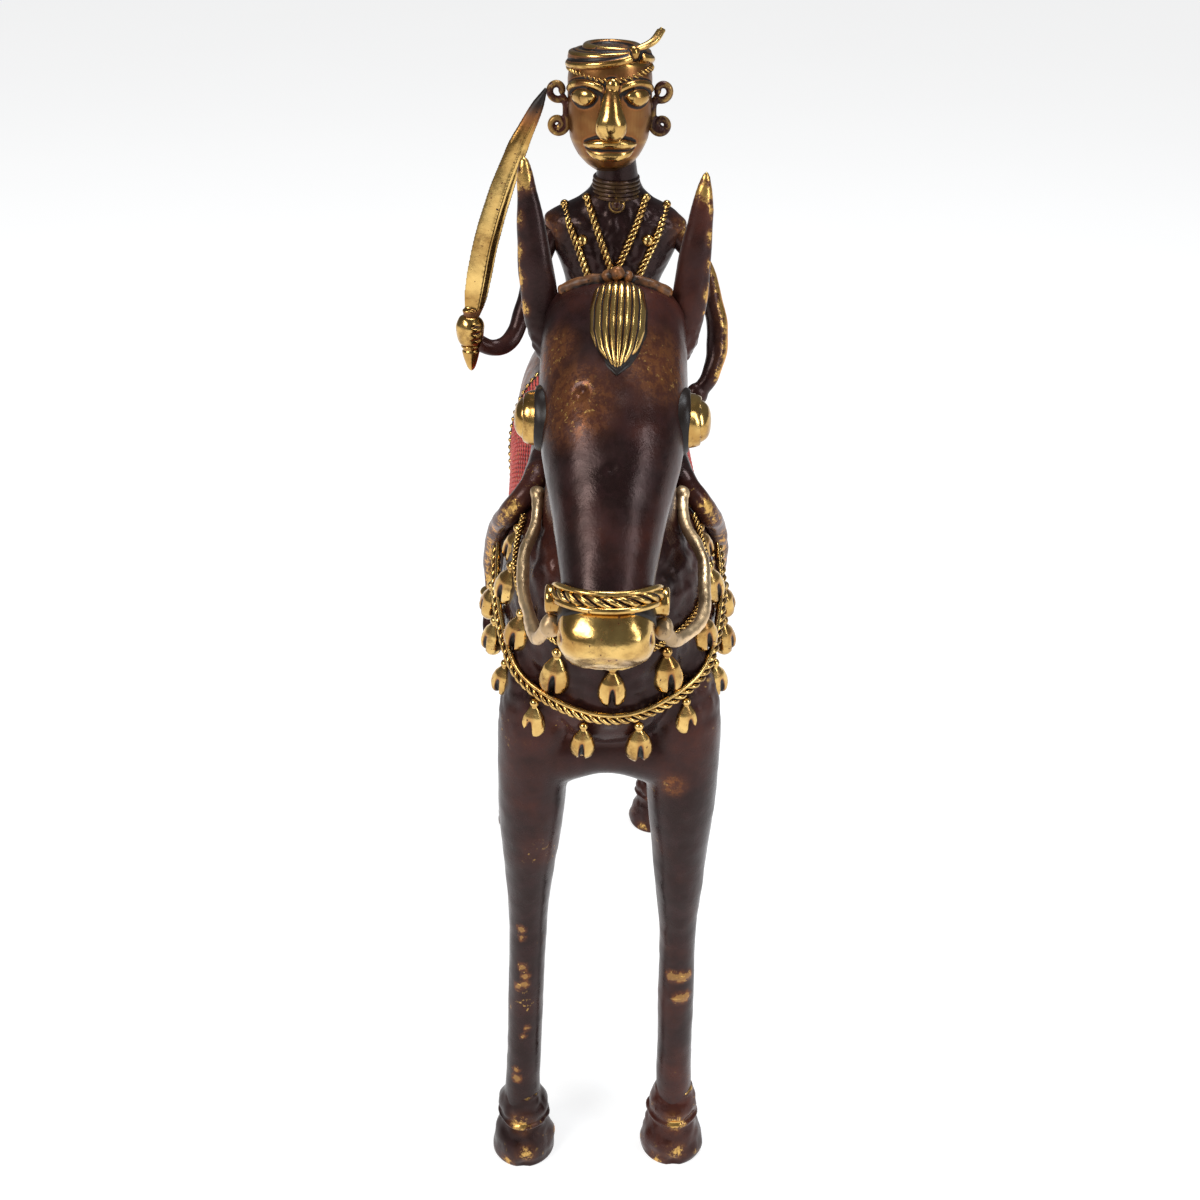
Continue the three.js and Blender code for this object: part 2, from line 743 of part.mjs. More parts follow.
function torsoForm(grow) {
  const deep = torsoDepth / 2;
  const rise = (share) => point(leanAt(share), riderSetBack, seatZ + sittingHeight * share);
  const stations = [
    station(rise(-0.1), hipWidth / 2, deep * 1.15),
    station(rise(0.1), hipWidth / 2, deep * 1.15),
    station(rise(0.36), (hipWidth + waistWidth) / 4, deep),
    station(rise(0.62), waistWidth / 2, deep * 0.94),
    station(rise(0.84), shoulderWidth * 0.41, deep),
    station(rise(0.95), shoulderWidth * 0.47, deep * 0.9),
    station(rise(1.02), shoulderWidth * 0.36, deep * 0.72),
    station(rise(1.06), riderNeckWidth * 0.51, riderNeckWidth * 0.51),
    station(point(riderLean, riderSetBack, chinZ - 1), riderNeckWidth / 2, riderNeckWidth / 2),
    station(point(riderLean, riderSetBack, chinZ + 3), riderNeckWidth / 2, riderNeckWidth / 2),
  ];
  return sweep(stations, { sides: 12, grow, power: 2.2 });
}

// Rider's head: an egg with a wedge nose, almond eyes and full lips
const headMidZ = (z) => point(0, riderHeadY, chinZ + riderHeadHeight * z);
function riderHeadForm(grow) {
  const wide = riderHeadWidth / 2;
  const deep = riderHeadDepth / 2;
  const stations = [
    station(headMidZ(-0.02), wide * 0.36, deep * 0.42),
    station(headMidZ(0.06), wide * 0.64, deep * 0.74),
    station(headMidZ(0.22), wide * 0.9, deep * 0.94),
    station(headMidZ(0.45), wide, deep),
    station(headMidZ(0.72), wide, deep),
    station(headMidZ(0.9), wide * 0.9, deep * 0.92),
    station(headMidZ(1), wide * 0.5, deep * 0.5),
  ];
  return sweep(stations, { sides: 12, grow, power: 2.2 });
}

const riderHeadSkin = skinOf(riderHeadForm(0));
const towardsFront = point(0, -1, 0);
function onFace(x, share) {
  const from = headMidZ(share).add(point(x, 0, 0));
  return outermost(riderHeadSkin, from, towardsFront);
}

function faceFeatures() {
  const eyeX = riderHeadWidth * 0.33;
  const bridge = onFace(0, 0.66);
  const tip = onFace(0, 0.36).add(point(0, -2.2, 0));
  const nose = sweep(
    [station(bridge, 1, 1), station(bridge.clone().lerp(tip, 0.6), 2, 1.8), station(tip, 2.8, 2.2)],
    { sides: 8, perSpan: 2 },
  );
  const eyes = [-1, 1].map((sign) => ball(onFace(sign * eyeX, 0.63), 5, 2.6, 3.4, { sides: 8, rings: 5 }));
  const lips = [0.15, 0.24].map((share) => ball(onFace(0, share), 9.6, 3, 2.6, { sides: 8, rings: 5 }));
  return [nose, ...eyes, ...lips];
}

const torsoJoint = torsoForm(joinGap);
const riderHeadJoint = riderHeadForm(joinGap);
const torsoBody = cutBy(torsoForm(0), [clothTop, riderHeadJoint, pegHole]);
addPiece(rider, 'rider_torso', torsoBody, darkBrass);
const peg = disc(point(0, riderSetBack, pegEndZ), point(0, riderSetBack, pegTopZ), pegDiameter);
addPiece(rider, 'seat_peg', peg, darkBrass);

// Turban: a low cap of folded cloth with its tail end standing up at the left
const turbanRise = joinGap + turbanFlare;
const turbanBase = chinZ + riderHeadHeight * turbanSeat;
function turbanForm() {
  const wide = riderHeadWidth / 2 + turbanRise - 0.8;
  const deep = riderHeadDepth / 2 + turbanRise - 0.8;
  const rise = (share) => point(0, riderHeadY, turbanBase + turbanHeight * share);
  const cap = sweep(
    [
      station(rise(0), wide * 0.96, deep * 0.96),
      station(rise(0.35), wide, deep),
      station(rise(0.75), wide * 0.86, deep * 0.86),
      station(rise(1), wide * 0.4, deep * 0.4),
    ],
    { sides: 14, perSpan: 2 },
  );
  const tailFoot = rise(0.6).add(point(wide * 0.62, 0, 0));
  const tail = sweep(
    [
      station(tailFoot, 1.6, 1.4),
      station(tailFoot.clone().add(point(turbanTailReach * 0.5, 0, turbanTailRise * 0.5)), 1.4, 1.2),
      station(tailFoot.clone().add(point(turbanTailReach, 0, turbanTailRise * 1.2)), 0.8, 0.7),
    ],
    { sides: 8, perSpan: 2 },
  );
  return cap.add(tail);
}
const plugTop = turbanBase + turbanHeight * 0.4;
function headLayer(low, high) {
  const reach = riderHeadHeight;
  return box(point(-reach, riderHeadY - reach, low), point(reach, riderHeadY + reach, high));
}
const aboveSeat = headLayer(plugTop - joinGap, chinZ + 2 * riderHeadHeight);
const headUnderTurban = riderHeadForm(0).subtract(aboveSeat);
const riderHeadBody = cutBy(joined([headUnderTurban, ...faceFeatures()]), [torsoJoint]);
addPiece(rider, 'rider_head', riderHeadBody, brightBrass);
const headPlug = riderHeadForm(joinGap).intersect(headLayer(chinZ, plugTop));
addPiece(rider, 'turban', turbanForm().subtract(headPlug), brightBrass);

// Headband: a rope round the brow, just below the turban
function ringAround(skin, z, lift, turns = 14) {
  const middle = point(0, riderHeadY, z);
  return Array.from({ length: turns }, (_, i) => {
    const angle = (2 * Math.PI * i) / turns;
    const ray = point(Math.sin(angle), -Math.cos(angle), 0);
    return outermost(skin, middle, ray).addScaledVector(ray, lift);
  });
}

function closedRing(route, diameter, sides = 5) {
  const half = Math.floor(route.length / 2);
  const first = rod(route.slice(0, half + 2), diameter, { sides, perSpan: 1 });
  const second = rod([...route.slice(half), route[0], route[1]], diameter, { sides, perSpan: 1 });
  return first.add(second);
}
const bandZ = turbanBase - headbandDiameter / 2 - joinGap;
const bandLift = headbandDiameter / 2 + joinGap + seatEase;
const bandRoute = ringAround(riderHeadSkin, bandZ, bandLift);
addPiece(rider, 'headband', closedRing(bandRoute, headbandDiameter), brightBrass);

// Ears: wire spirals at the temples, each with a scroll earring below
function earPiece(sign) {
  const loopZ = chinZ + riderHeadHeight * 0.66;
  const face = outermost(riderHeadSkin, point(0, riderHeadY, loopZ), point(sign, 0, 0));
  const loopAt = face.clone().add(point(sign * (earRingDiameter / 2 + joinGap), 0, 0));
  const ringlet = new THREE.TorusGeometry((earRingDiameter - earWire) / 2, earWire / 2, 5, 10);
  ringlet.rotateX(Math.PI / 2).translate(loopAt.x, loopAt.y, loopAt.z);
  const scrollAt = loopAt.clone().add(point(0, 0, -earringDrop));
  const scroll = ball(scrollAt, earringDiameter, earWire * 1.6, earringDiameter, { sides: 8, rings: 5 });
  const wireTop = loopAt.clone().setZ(loopZ - earRingDiameter / 2 + earWire / 2);
  const wire = rod([wireTop, scrollAt], earWire, { side: axisX, sides: 6 });
  return joined([solid(ringlet), scroll, wire]);
}

// Neck rings, pendant, cords and studs on the torso
const torsoSkin = skinOf(torsoForm(0));
function onChest(x, z, lift) {
  const lean = leanAt((z - seatZ) / sittingHeight);
  const seat = outermost(torsoSkin, point(x + lean, riderSetBack, z), towardsFront);
  return seat.addScaledVector(towardsFront, lift);
}
const ringsBase = shoulderZ + 0.075 * sittingHeight;
const ringsBore = riderNeckWidth * neckRoundness + joinGap;
const ringRows = [[ringsBore, 0]];
for (let i = 0; i < neckRingCount; i += 1) {
  ringRows.push([ringsBore + neckRingDiameter * 0.3, neckRingDiameter * (i + 0.1)]);
  ringRows.push([ringsBore + neckRingDiameter, neckRingDiameter * (i + 0.5)]);
}
ringRows.push([ringsBore + neckRingDiameter * 0.3, neckRingDiameter * neckRingCount]);
ringRows.push([ringsBore, neckRingDiameter * neckRingCount], [ringsBore, 0]);
const neckRings = turned(ringRows, point(riderLean, riderSetBack, ringsBase));
addPiece(rider, 'neck_rings', neckRings.subtract(torsoJoint), darkBrass);
for (const { name, sign } of sidesOfBody) {
  addPiece(rider, `rider_ear_${name}`, earPiece(sign), brightBrass);
}

// Cords: ropes that hang from the shoulders to a point on the chest
function cordForm(rows, drop) {
  const place = (x, share) => onChest(x * shoulderWidth, shoulderZ - share * drop, cordDiameter * 0.4);
  const route = rows.map(([x, share]) => place(x, share));
  const other = rows.slice(0, -1).reverse();
  const back = other.map(([x, share]) => place(-x, share));
  return rod([...route, ...back], cordDiameter, { side: towardsFront, sides: 6, perSpan: 2 });
}
const innerCord = cordForm([[0.19, 0.025], [0.15, 0.25], [0.07, 0.69], [0, 1]], innerCordDrop);
const outerCord = cordForm([[0.33, 0.06], [0.28, 0.21], [0.17, 0.55], [0, 1]], outerCordDrop);
addPiece(rider, 'inner_cord', cutBy(innerCord, [torsoJoint]), brightBrass);
addPiece(rider, 'outer_cord', cutBy(outerCord, [torsoJoint]), brightBrass);
const pendantAt = onChest(0, shoulderZ + 0.6, 0.4);
const pendantBody = ball(pendantAt, pendantDiameter, pendantDiameter * 0.8, pendantDiameter);
addPiece(rider, 'pendant', cutBy(pendantBody, [torsoJoint]), darkBrass);

// Arms: the sword arm swings out low to the fist, the rein arm bows out to a round hand
const shoulderX = shoulderWidth * 0.46;
const armRoot = shoulderZ - armDrop;
const fistAt = point(-fistReach, riderSetBack - fistForward, shoulderZ - fistDrop);
const handAt = point(elbowReach - 5, riderSetBack - handForward, shoulderZ - handDrop);
const swordArmRoute = [
  point(riderLean - shoulderX + 2, riderSetBack, armRoot),
  point(riderLean - shoulderX - 3.5, riderSetBack - 4, armRoot - 13),
  point(riderLean - shoulderX - 7, riderSetBack - 8, armRoot - 23),
  point(-fistReach + 5, riderSetBack - 11, fistAt.z - 4.6),
  point(-fistReach + 1, fistAt.y, fistAt.z - 2.6),
];
const reinArmRoute = [
  point(riderLean + shoulderX - 2, riderSetBack, armRoot),
  point(riderLean + shoulderX + 4, riderSetBack - 5, armRoot - 8),
  point(elbowReach - 1.5, riderSetBack - 8, armRoot - 16),
  point(elbowReach, riderSetBack - 10, armRoot - 25),
  point(elbowReach - 2, riderSetBack - 13, handAt.z + 4),
  handAt,
];

// Sword: a curved blade in the plane of the shoulders, with its grip through the fist
function swordForm(grow) {
  const half = bladeWidth / 2 + grow;
  const thick = bladeThickness / 2 + grow;
  const blade = (share, lean, wide) => {
    const z = fistAt.z + fistHeight / 2 + swordLength * share;
    const at = point(fistAt.x + lean * swordLean, fistAt.y, z);
    return station(at, half * wide, thick);
  };
  const grip = (below) => point(fistAt.x, fistAt.y, fistAt.z - fistHeight / 2 - below);
  const stations = [
    station(grip(pommelLength), half * 0.2, thick * 0.8),
    station(grip(pommelLength * 0.6), half * 0.7, thick * 2),
    station(grip(0), half * 0.6, thick * 2),
    blade(0, 0.03, 0.6),
    blade(0.1, 0.09, 0.95),
    blade(0.32, 0.22, 1),
    blade(0.55, 0.42, 0.92),
    blade(0.76, 0.66, 0.78),
    blade(0.93, 0.9, 0.45),
    blade(1, 1, 0.14),
  ];
  return sweep(stations, { sides: 8 });
}
const swordJoint = swordForm(joinGap);
const fistBody = ball(fistAt, fistWidth, fistWidth, fistHeight, { sides: 10, rings: 6 });
const fistJoint = ball(
  fistAt,
  fistWidth + 2 * joinGap,
  fistWidth + 2 * joinGap,
  fistHeight + 2 * joinGap,
  { sides: 10, rings: 6 },
);
const swordArm = rod(swordArmRoute, armDiameter, { side: axisY });
const reinArm = rod(reinArmRoute, armDiameter, { side: axisY });
const hand = ball(handAt, handDiameter, handDiameter, handDiameter, { sides: 10, rings: 6 });
addPiece(rider, 'sword_arm', cutBy(swordArm, [torsoJoint, fistJoint, swordJoint]), darkBrass);
addPiece(rider, 'rein_arm', cutBy(joined([reinArm, hand]), [torsoJoint]), darkBrass);

addPiece(rider, 'sword_fist', fistBody.subtract(swordJoint), brightBrass);
addPiece(rider, 'sword', swordForm(0), brightBrass);

// Legs: thighs forward over the cloth, knees beside the neck, shins back and down, toes forward
const borderSkin = skinOf(trunkForm(clothRise + borderRise));
const clothFlank = outermost(borderSkin, point(0, clothStart, trunkZ), axisX);
const shinX = clothFlank.x + legClearance + shinDiameter / 2;
const kneeZ = seatZ - kneeDrop;
const ankleZ = seatZ - legDrop;
const kneeY = riderSetBack - kneeForward;
const shinY = riderSetBack - ankleForward;
function riderLegForm(sign, grow) {
  const shin = shinDiameter / 2;
  const thigh = thighDiameter / 2;
  const { lerp } = THREE.MathUtils;
  const underKnee = (out, back, down) => {
    const x = lerp(kneeSpread, shinX, out);
    return point(sign * x, lerp(kneeY, shinY, back), lerp(kneeZ, ankleZ, down));
  };
  const stations = [
    station(point(sign * hipWidth * 0.3, riderSetBack - 1, seatZ + 5), thigh),
    station(point(sign * hipWidth * 0.5, riderSetBack - kneeForward * 0.4, seatZ - 1), thigh * 0.9),
    station(underKnee(0, 0, 0), thigh * 0.6),
    station(underKnee(0.41, -0.03, 0.14), shin * 1.35),
    station(underKnee(0.75, 0.38, 0.34), shin * 1.2),
    station(underKnee(0.944, 0.73, 0.58), shin * 1.05),
    station(underKnee(1, 1, 0.81), shin),
    station(point(sign * shinX, shinY - 1, ankleZ), shin),
    station(point(sign * (shinX + 0.6), shinY - footLength * 0.5, ankleZ - 5), shin * 1.05, shin * 0.8),
    station(point(sign * (shinX + 0.9), shinY - footLength, ankleZ - 6), shin * 0.6, shin * 0.5),
  ];
  return sweep(stations, { sides: 8, grow });
}
for (const { name, sign } of sidesOfBody) {
  const leg = cutBy(riderLegForm(sign, 0), [torsoJoint, clothTop, borderCut]);
  addPiece(rider, `rider_leg_${name}`, leg, darkBrass);
  const rows = [
    [0, 0],
    [ankletDiameter * 0.42, 0],
    [ankletDiameter / 2, ankletHeight / 2],
    [ankletDiameter * 0.42, ankletHeight],
    [0, ankletHeight],
  ];
  const anklet = turned(rows, point(sign * shinX, shinY, ankleZ + 2));
  addPiece(rider, `anklet_${name}`, anklet.subtract(riderLegForm(sign, joinGap)), brightBrass);
  const studAt = onChest(sign * shoulderWidth * 0.205, shoulderZ - 7.5, 0.3);
  const stud = ball(studAt, studDiameter, studDiameter, studDiameter, { sides: 8, rings: 5 });
  addPiece(rider, `chest_stud_${name}`, cutBy(stud, [torsoJoint]), brightBrass);
}

// The finished part stands with its origin under the middle of its box
const bounds = new THREE.Box3().setFromObject(figurine);
const middle = bounds.getCenter(new THREE.Vector3());
figurine.position.set(-middle.x, -middle.y, -bounds.min.z);

export default figurine;
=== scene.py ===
"""Dressed horse and rider figurine: a dark cast-brass horse with rope and cowrie trappings,
and a turbaned rider with a curved sword, on a pale studio floor."""

import math

import bmesh
import bpy
import numpy as np
from bpy.props import FloatProperty, FloatVectorProperty, IntProperty, PointerProperty
from mathutils import Matrix, Vector, noise
from mathutils.bvhtree import BVHTree
from mathutils.kdtree import KDTree


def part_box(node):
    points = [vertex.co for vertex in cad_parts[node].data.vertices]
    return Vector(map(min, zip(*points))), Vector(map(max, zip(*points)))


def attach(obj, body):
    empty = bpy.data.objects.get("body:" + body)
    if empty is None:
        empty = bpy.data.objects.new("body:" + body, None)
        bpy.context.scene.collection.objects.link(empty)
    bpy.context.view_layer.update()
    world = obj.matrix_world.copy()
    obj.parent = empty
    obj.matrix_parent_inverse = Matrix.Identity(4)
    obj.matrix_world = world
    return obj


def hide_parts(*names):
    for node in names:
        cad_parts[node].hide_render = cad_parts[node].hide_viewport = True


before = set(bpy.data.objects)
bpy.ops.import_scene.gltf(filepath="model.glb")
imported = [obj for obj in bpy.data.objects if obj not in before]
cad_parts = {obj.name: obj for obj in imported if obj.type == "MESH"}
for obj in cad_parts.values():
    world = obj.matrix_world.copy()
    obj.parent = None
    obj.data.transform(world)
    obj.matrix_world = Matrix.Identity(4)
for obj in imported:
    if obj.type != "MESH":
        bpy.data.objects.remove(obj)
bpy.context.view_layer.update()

bl_info = {
    "name": "Horse and rider figurine",
    "version": (1, 0, 0),
    "blender": (4, 5, 0),
    "location": "View3D > Sidebar > Figurine",
    "description": "Builds the looks of a cast-brass horse and rider around its packed solids",
    "category": "Object",
}

MM = 0.001
SIDES = (("right", -1), ("left", 1))
THINNEST = 0.02
AXIS_X = np.array((1.0, 0.0, 0.0))
AXIS_Y = np.array((0.0, 1.0, 0.0))
AXIS_Z = np.array((0.0, 0.0, 1.0))


# Frame: shapes are written in millimetres with x = 0 through the trunk's middle and y = 0
# through the front hooves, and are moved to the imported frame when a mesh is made.
def frame_shift():
    trunk_low, trunk_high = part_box("trunk")
    hoof_low, hoof_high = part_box("hoof_front_right")
    x = (trunk_low.x + trunk_high.x) / 2
    y = (hoof_low.y + hoof_high.y) / 2
    return np.array((x, y, 0.0))


SHIFT = frame_shift()


def to_scene(points):
    return np.asarray(points, float) * MM + SHIFT


def at(x, y, z):
    return np.array((x, y, z), float)


def unit(vector):
    return vector / np.linalg.norm(vector)


def full_turn(count):
    """Angles spread evenly round one full turn."""
    return np.linspace(0, 2 * math.pi, count, endpoint=False)


def blend(where, rows, column):
    """One column of rows at a place along their first column."""
    return np.interp(where, [row[0] for row in rows], [row[column] for row in rows])


def along_path(where, steps, path):
    """The point of a path at a place among its steps."""
    return at(*(np.interp(where, steps, path[:, k]) for k in range(3)))


def rounded_square(angle, power):
    """A point of a rounded square of half side 1; a power of 2 gives a circle."""
    bend = 2 / power
    u = math.copysign(abs(math.cos(angle)) ** bend, math.cos(angle))
    v = math.copysign(abs(math.sin(angle)) ** bend, math.sin(angle))
    return u, v


# Curves and lofted forms
def spline(points, count):
    """A centripetal Catmull-Rom curve through the points, sampled evenly by span."""
    points = np.asarray(points, float)
    spans = len(points) - 1
    first = 2 * points[0] - points[1]
    last = 2 * points[-1] - points[-2]
    padded = np.vstack((first, points, last))
    samples = []
    for t in np.linspace(0, spans, count):
        i = min(int(t), spans - 1)
        u = t - i
        p0, p1, p2, p3 = padded[i:i + 4]
        d0 = max(np.linalg.norm(p1 - p0) ** 0.5, 1e-4)
        d1 = max(np.linalg.norm(p2 - p1) ** 0.5, 1e-4)
        d2 = max(np.linalg.norm(p3 - p2) ** 0.5, 1e-4)
        m1 = ((p1 - p0) / d0 - (p2 - p0) / (d0 + d1) + (p2 - p1) / d1) * d1
        m2 = ((p2 - p1) / d1 - (p3 - p1) / (d1 + d2) + (p3 - p2) / d2) * d1
        h1 = 2 * u ** 3 - 3 * u ** 2 + 1
        h2 = -2 * u ** 3 + 3 * u ** 2
        h3 = u ** 3 - 2 * u ** 2 + u
        h4 = u ** 3 - u ** 2
        samples.append(h1 * p1 + h2 * p2 + h3 * m1 + h4 * m2)
    return np.array(samples)


def ring_faces(rings, sides):
    """Faces between rings of points that follow each other."""
    faces = []
    for r in range(rings - 1):
        for s in range(sides):
            a = r * sides + s
            b = r * sides + (s + 1) % sides
            faces.append((a, b, b + sides, a + sides))
    return faces


def capped_faces(rings, sides):
    """Faces between rings, with one face over each end."""
    faces = ring_faces(rings, sides)
    faces.append(tuple(reversed(range(sides))))
    faces.append(tuple(range((rings - 1) * sides, rings * sides)))
    return faces


def loft(stations, side=AXIS_X, sides=32, per_span=6, power=2.0):
    """A closed form through stations of (middle, half width along side, half depth)."""
    count = (len(stations) - 1) * per_span + 1
    path = spline([s[0] for s in stations], count)
    size = spline([(s[1], s[2], 0.0) for s in stations], count)
    tangents = np.gradient(path, axis=0)
    angles = full_turn(sides)
    around = np.stack((np.cos(angles), np.sin(angles)), axis=1)
    around = np.sign(around) * np.abs(around) ** (2 / power)
    verts = []
    for place, half, tangent in zip(path, size, tangents):
        tangent = unit(tangent)
        across = unit(side - tangent * np.dot(side, tangent))
        over = np.cross(tangent, across)
        wide, deep = np.maximum(half[:2], THINNEST)
        verts.extend(place + across * u * wide + over * v * deep for u, v in around)
    faces = ring_faces(count, sides)
    first = len(verts)
    verts.extend((path[0], path[-1]))
    top = (count - 1) * sides
    for s in range(sides):
        n = (s + 1) % sides
        faces.append((first, n, s))
        faces.append((first + 1, top + s, top + n))
    return np.array(verts), faces


def rod(points, diameter, side=AXIS_Z, sides=14, per_span=6, ends=0.6):
    """A round rod with softened ends through the points."""
    points = np.asarray(points, float)
    radius = diameter / 2
    start = points[0] - unit(points[1] - points[0]) * radius * ends
    stop = points[-1] + unit(points[-1] - points[-2]) * radius * ends
    stations = [(start, radius * 0.4, radius * 0.4)]
    stations += [(p, radius, radius) for p in points]
    stations.append((stop, radius * 0.4, radius * 0.4))
    return loft(stations, side, sides, per_span)


def turned(rows, middle, axis=AXIS_Z, sides=40, per_span=4):
    """A turned form: rows of (radius, height) about an axis that starts at middle."""
    profile = spline([(r, h, 0.0) for r, h in rows], (len(rows) - 1) * per_span + 1)
    across = unit(np.cross(axis, AXIS_Y if abs(axis[1]) < 0.9 else AXIS_X))
    over = np.cross(axis, across)
    verts = []
    for radius, height, _ in profile:
        for angle in full_turn(sides):
            out = across * math.cos(angle) + over * math.sin(angle)
            verts.append(middle + axis * height + out * max(radius, 0.01))
    return np.array(verts), capped_faces(len(profile), sides)


def ball(middle, width, depth=None, height=None, sides=20, rings=12):
    """An egg by its three diameters, round if only the width is given."""
    depth = depth or width
    height = height or width
    rows = []
    for polar in np.linspace(0.06, math.pi - 0.06, rings):
        rows.append((math.sin(polar) / 2, -math.cos(polar) / 2))
    verts, faces = turned(rows, np.zeros(3), AXIS_Z, sides, 1)
    return verts * np.array((width, depth, height)) + middle, faces


def joined(parts):
    """Several forms as one list of points and one of faces."""
    verts = []
    faces = []
    start = 0
    for part_verts, part_faces in parts:
        verts.append(part_verts)
        faces.extend(tuple(i + start for i in face) for face in part_faces)
        start += len(part_verts)
    return np.vstack(verts), faces


# Meshes and pieces
def add_object(name, data):
    obj = bpy.data.objects.new(name, data)
    bpy.context.scene.collection.objects.link(obj)
    return obj


def mesh_object(name, part):
    verts, faces = part
    mesh = bpy.data.meshes.new(name)
    mesh.from_pydata(to_scene(verts).tolist(), [], faces)
    mesh.validate()
    return add_object(name, mesh)


def settle(obj):
    """Apply every modifier of an object to its mesh."""
    graph = bpy.context.evaluated_depsgraph_get()
    mesh = bpy.data.meshes.new_from_object(obj.evaluated_get(graph))
    old = obj.data
    obj.modifiers.clear()
    obj.data = mesh
    bpy.data.meshes.remove(old)
    mesh.name = obj.name


def face_outward(obj):
    work = bmesh.new()
    work.from_mesh(obj.data)
    bmesh.ops.recalc_face_normals(work, faces=work.faces)
    work.to_mesh(obj.data)
    work.free()


def solid_object(name, part):
    """A mesh object whose faces point outwards."""
    obj = mesh_object(name, part)
    face_outward(obj)
    return obj


def fuse(obj, voxel, smooth):
    """Melt the forms of an object into one skin, with soft creases."""
    face_outward(obj)
    remesh = obj.modifiers.new("melt", "REMESH")
    remesh.mode = "VOXEL"
    remesh.voxel_size = voxel * MM
    soften = obj.modifiers.new("soften", "SMOOTH")
    soften.factor = 0.5
    soften.iterations = smooth
    settle(obj)


def fused_object(name, parts, voxel, smooth):
    obj = mesh_object(name, joined(parts))
    fuse(obj, voxel, smooth)
    return obj


def point_vectors(mesh, kind):
    values = np.empty(len(mesh.vertices) * 3)
    mesh.vertices.foreach_get(kind, values)
    return values.reshape(-1, 3)


def coordinates(mesh):
    return point_vectors(mesh, "co")


def normals(mesh):
    return point_vectors(mesh, "normal")


def set_coordinates(mesh, moved):
    mesh.vertices.foreach_set("co", moved.ravel())
    mesh.update()


def shape_points(obj):
    """The points of an object in millimetres, as shapes are written."""
    return (coordinates(obj.data) - SHIFT) / MM


def neighbours(mesh):
    pairs = np.empty(len(mesh.edges) * 2, np.int64)
    mesh.edges.foreach_get("vertices", pairs)
    return pairs.reshape(-1, 2)


def averaged(values, pairs, rounds):
    """Values spread to their neighbours along the mesh's edges."""
    count = np.bincount(pairs.ravel(), minlength=len(values)).astype(float)
    count = np.maximum(count, 1).reshape((-1,) + (1,) * (values.ndim - 1))
    for _ in range(rounds):
        total = np.zeros_like(values)
        np.add.at(total, pairs[:, 0], values[pairs[:, 1]])
        np.add.at(total, pairs[:, 1], values[pairs[:, 0]])
        values = (values + total / count) / 2
    return values


def set_attribute(mesh, name, values):
    attribute = mesh.attributes.get(name) or mesh.attributes.new(name, "FLOAT", "POINT")
    attribute.data.foreach_set("value", np.asarray(values, np.float32))


def get_attribute(mesh, name):
    return np.array([point.value for point in mesh.attributes[name].data])


def flat_relief(obj, level):
    """Give every point of an object the same relief."""
    set_attribute(obj.data, "relief", np.full(len(obj.data.vertices), level))


def mark_relief(obj, reach, height):
    """Store how far each point stands above its surroundings: 0.5 is level, 1 is proud."""
    mesh = obj.data
    co = coordinates(mesh)
    pairs = neighbours(mesh)
    above = ((co - averaged(co, pairs, reach)) * normals(mesh)).sum(axis=1)
    above = averaged(above, pairs, 1)
    set_attribute(mesh, "relief", np.clip(0.5 + above / (2 * height * MM), 0, 1))


def mark_wear(obj, places):
    """Store rubbed-bright zones: places are (point, reach) in millimetres."""
    co = coordinates(obj.data)
    wear = np.zeros(len(co))
    for place, reach in places:
        away = np.linalg.norm(co - to_scene(place), axis=1) / (reach * MM)
        wear = np.maximum(wear, np.clip(1 - away, 0, 1))
    set_attribute(obj.data, "wear", wear)


def roughen(obj, size, depth, seed, mask=None):
    """Move the skin in and out by a smooth noise of the given grain and depth."""
    mesh = obj.data
    co = coordinates(mesh)
    no = normals(mesh)
    offset = Vector((seed * 7.3, seed * 3.1, seed * 5.7))
    moves = np.array([noise.noise(Vector(c) / (size * MM) + offset) for c in co])
    if mask is not None:
        moves = moves * mask
    set_coordinates(mesh, co + no * (moves * depth * MM)[:, None])


def press(obj, place, reach, depth, stretch=(1.0, 1.0, 1.0)):
    """Push the skin in around a place, or out where depth is negative."""
    mesh = obj.data
    co = coordinates(mesh)
    away = np.linalg.norm((co - to_scene(place)) / np.asarray(stretch), axis=1) / (reach * MM)
    fall = np.clip(1 - away ** 2, 0, 1) ** 2
    set_coordinates(mesh, co - normals(mesh) * (fall * depth * MM)[:, None])


def on_floor(obj):
    """Lift any point that went below the floor."""
    co = coordinates(obj.data)
    co[:, 2] = np.maximum(co[:, 2], 0.0)
    set_coordinates(obj.data, co)


def finish_piece(obj, finish, body, nodes, relief=(6, 0.25)):
    """Give a piece its finish, body and replaced nodes; relief is for mark_relief."""
    mesh = obj.data
    mesh.polygons.foreach_set("use_smooth", [True] * len(mesh.polygons))
    if "relief" not in mesh.attributes:
        mark_relief(obj, *relief)
    if "wear" not in mesh.attributes:
        set_attribute(mesh, "wear", np.zeros(len(mesh.vertices)))
    mesh.materials.clear()
    mesh.materials.append(material(finish))
    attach(obj, body)
    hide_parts(*nodes)
    mesh.update()


def drill(obj, start, stop, diameter):
    """Cut a round hole between two points."""
    rows = ((diameter / 2, 0.0), (diameter / 2, np.linalg.norm(stop - start)))
    bit = solid_object("drill_bit", turned(rows, start, unit(stop - start), 48, 1))
    cut = obj.modifiers.new("drill", "BOOLEAN")
    cut.operation = "DIFFERENCE"
    cut.solver = "EXACT"
    cut.object = bit
    settle(obj)
    bpy.data.objects.remove(bit)


def form_object(name, part):
    """A small form about the origin that will be copied onto points."""
    verts, faces = part
    return solid_object(name, (verts - SHIFT / MM, faces))


def skin_tree(obj):
    mesh = obj.data
    polygons = [tuple(p.vertices) for p in mesh.polygons]
    return BVHTree.FromPolygons([v.co.copy() for v in mesh.vertices], polygons)


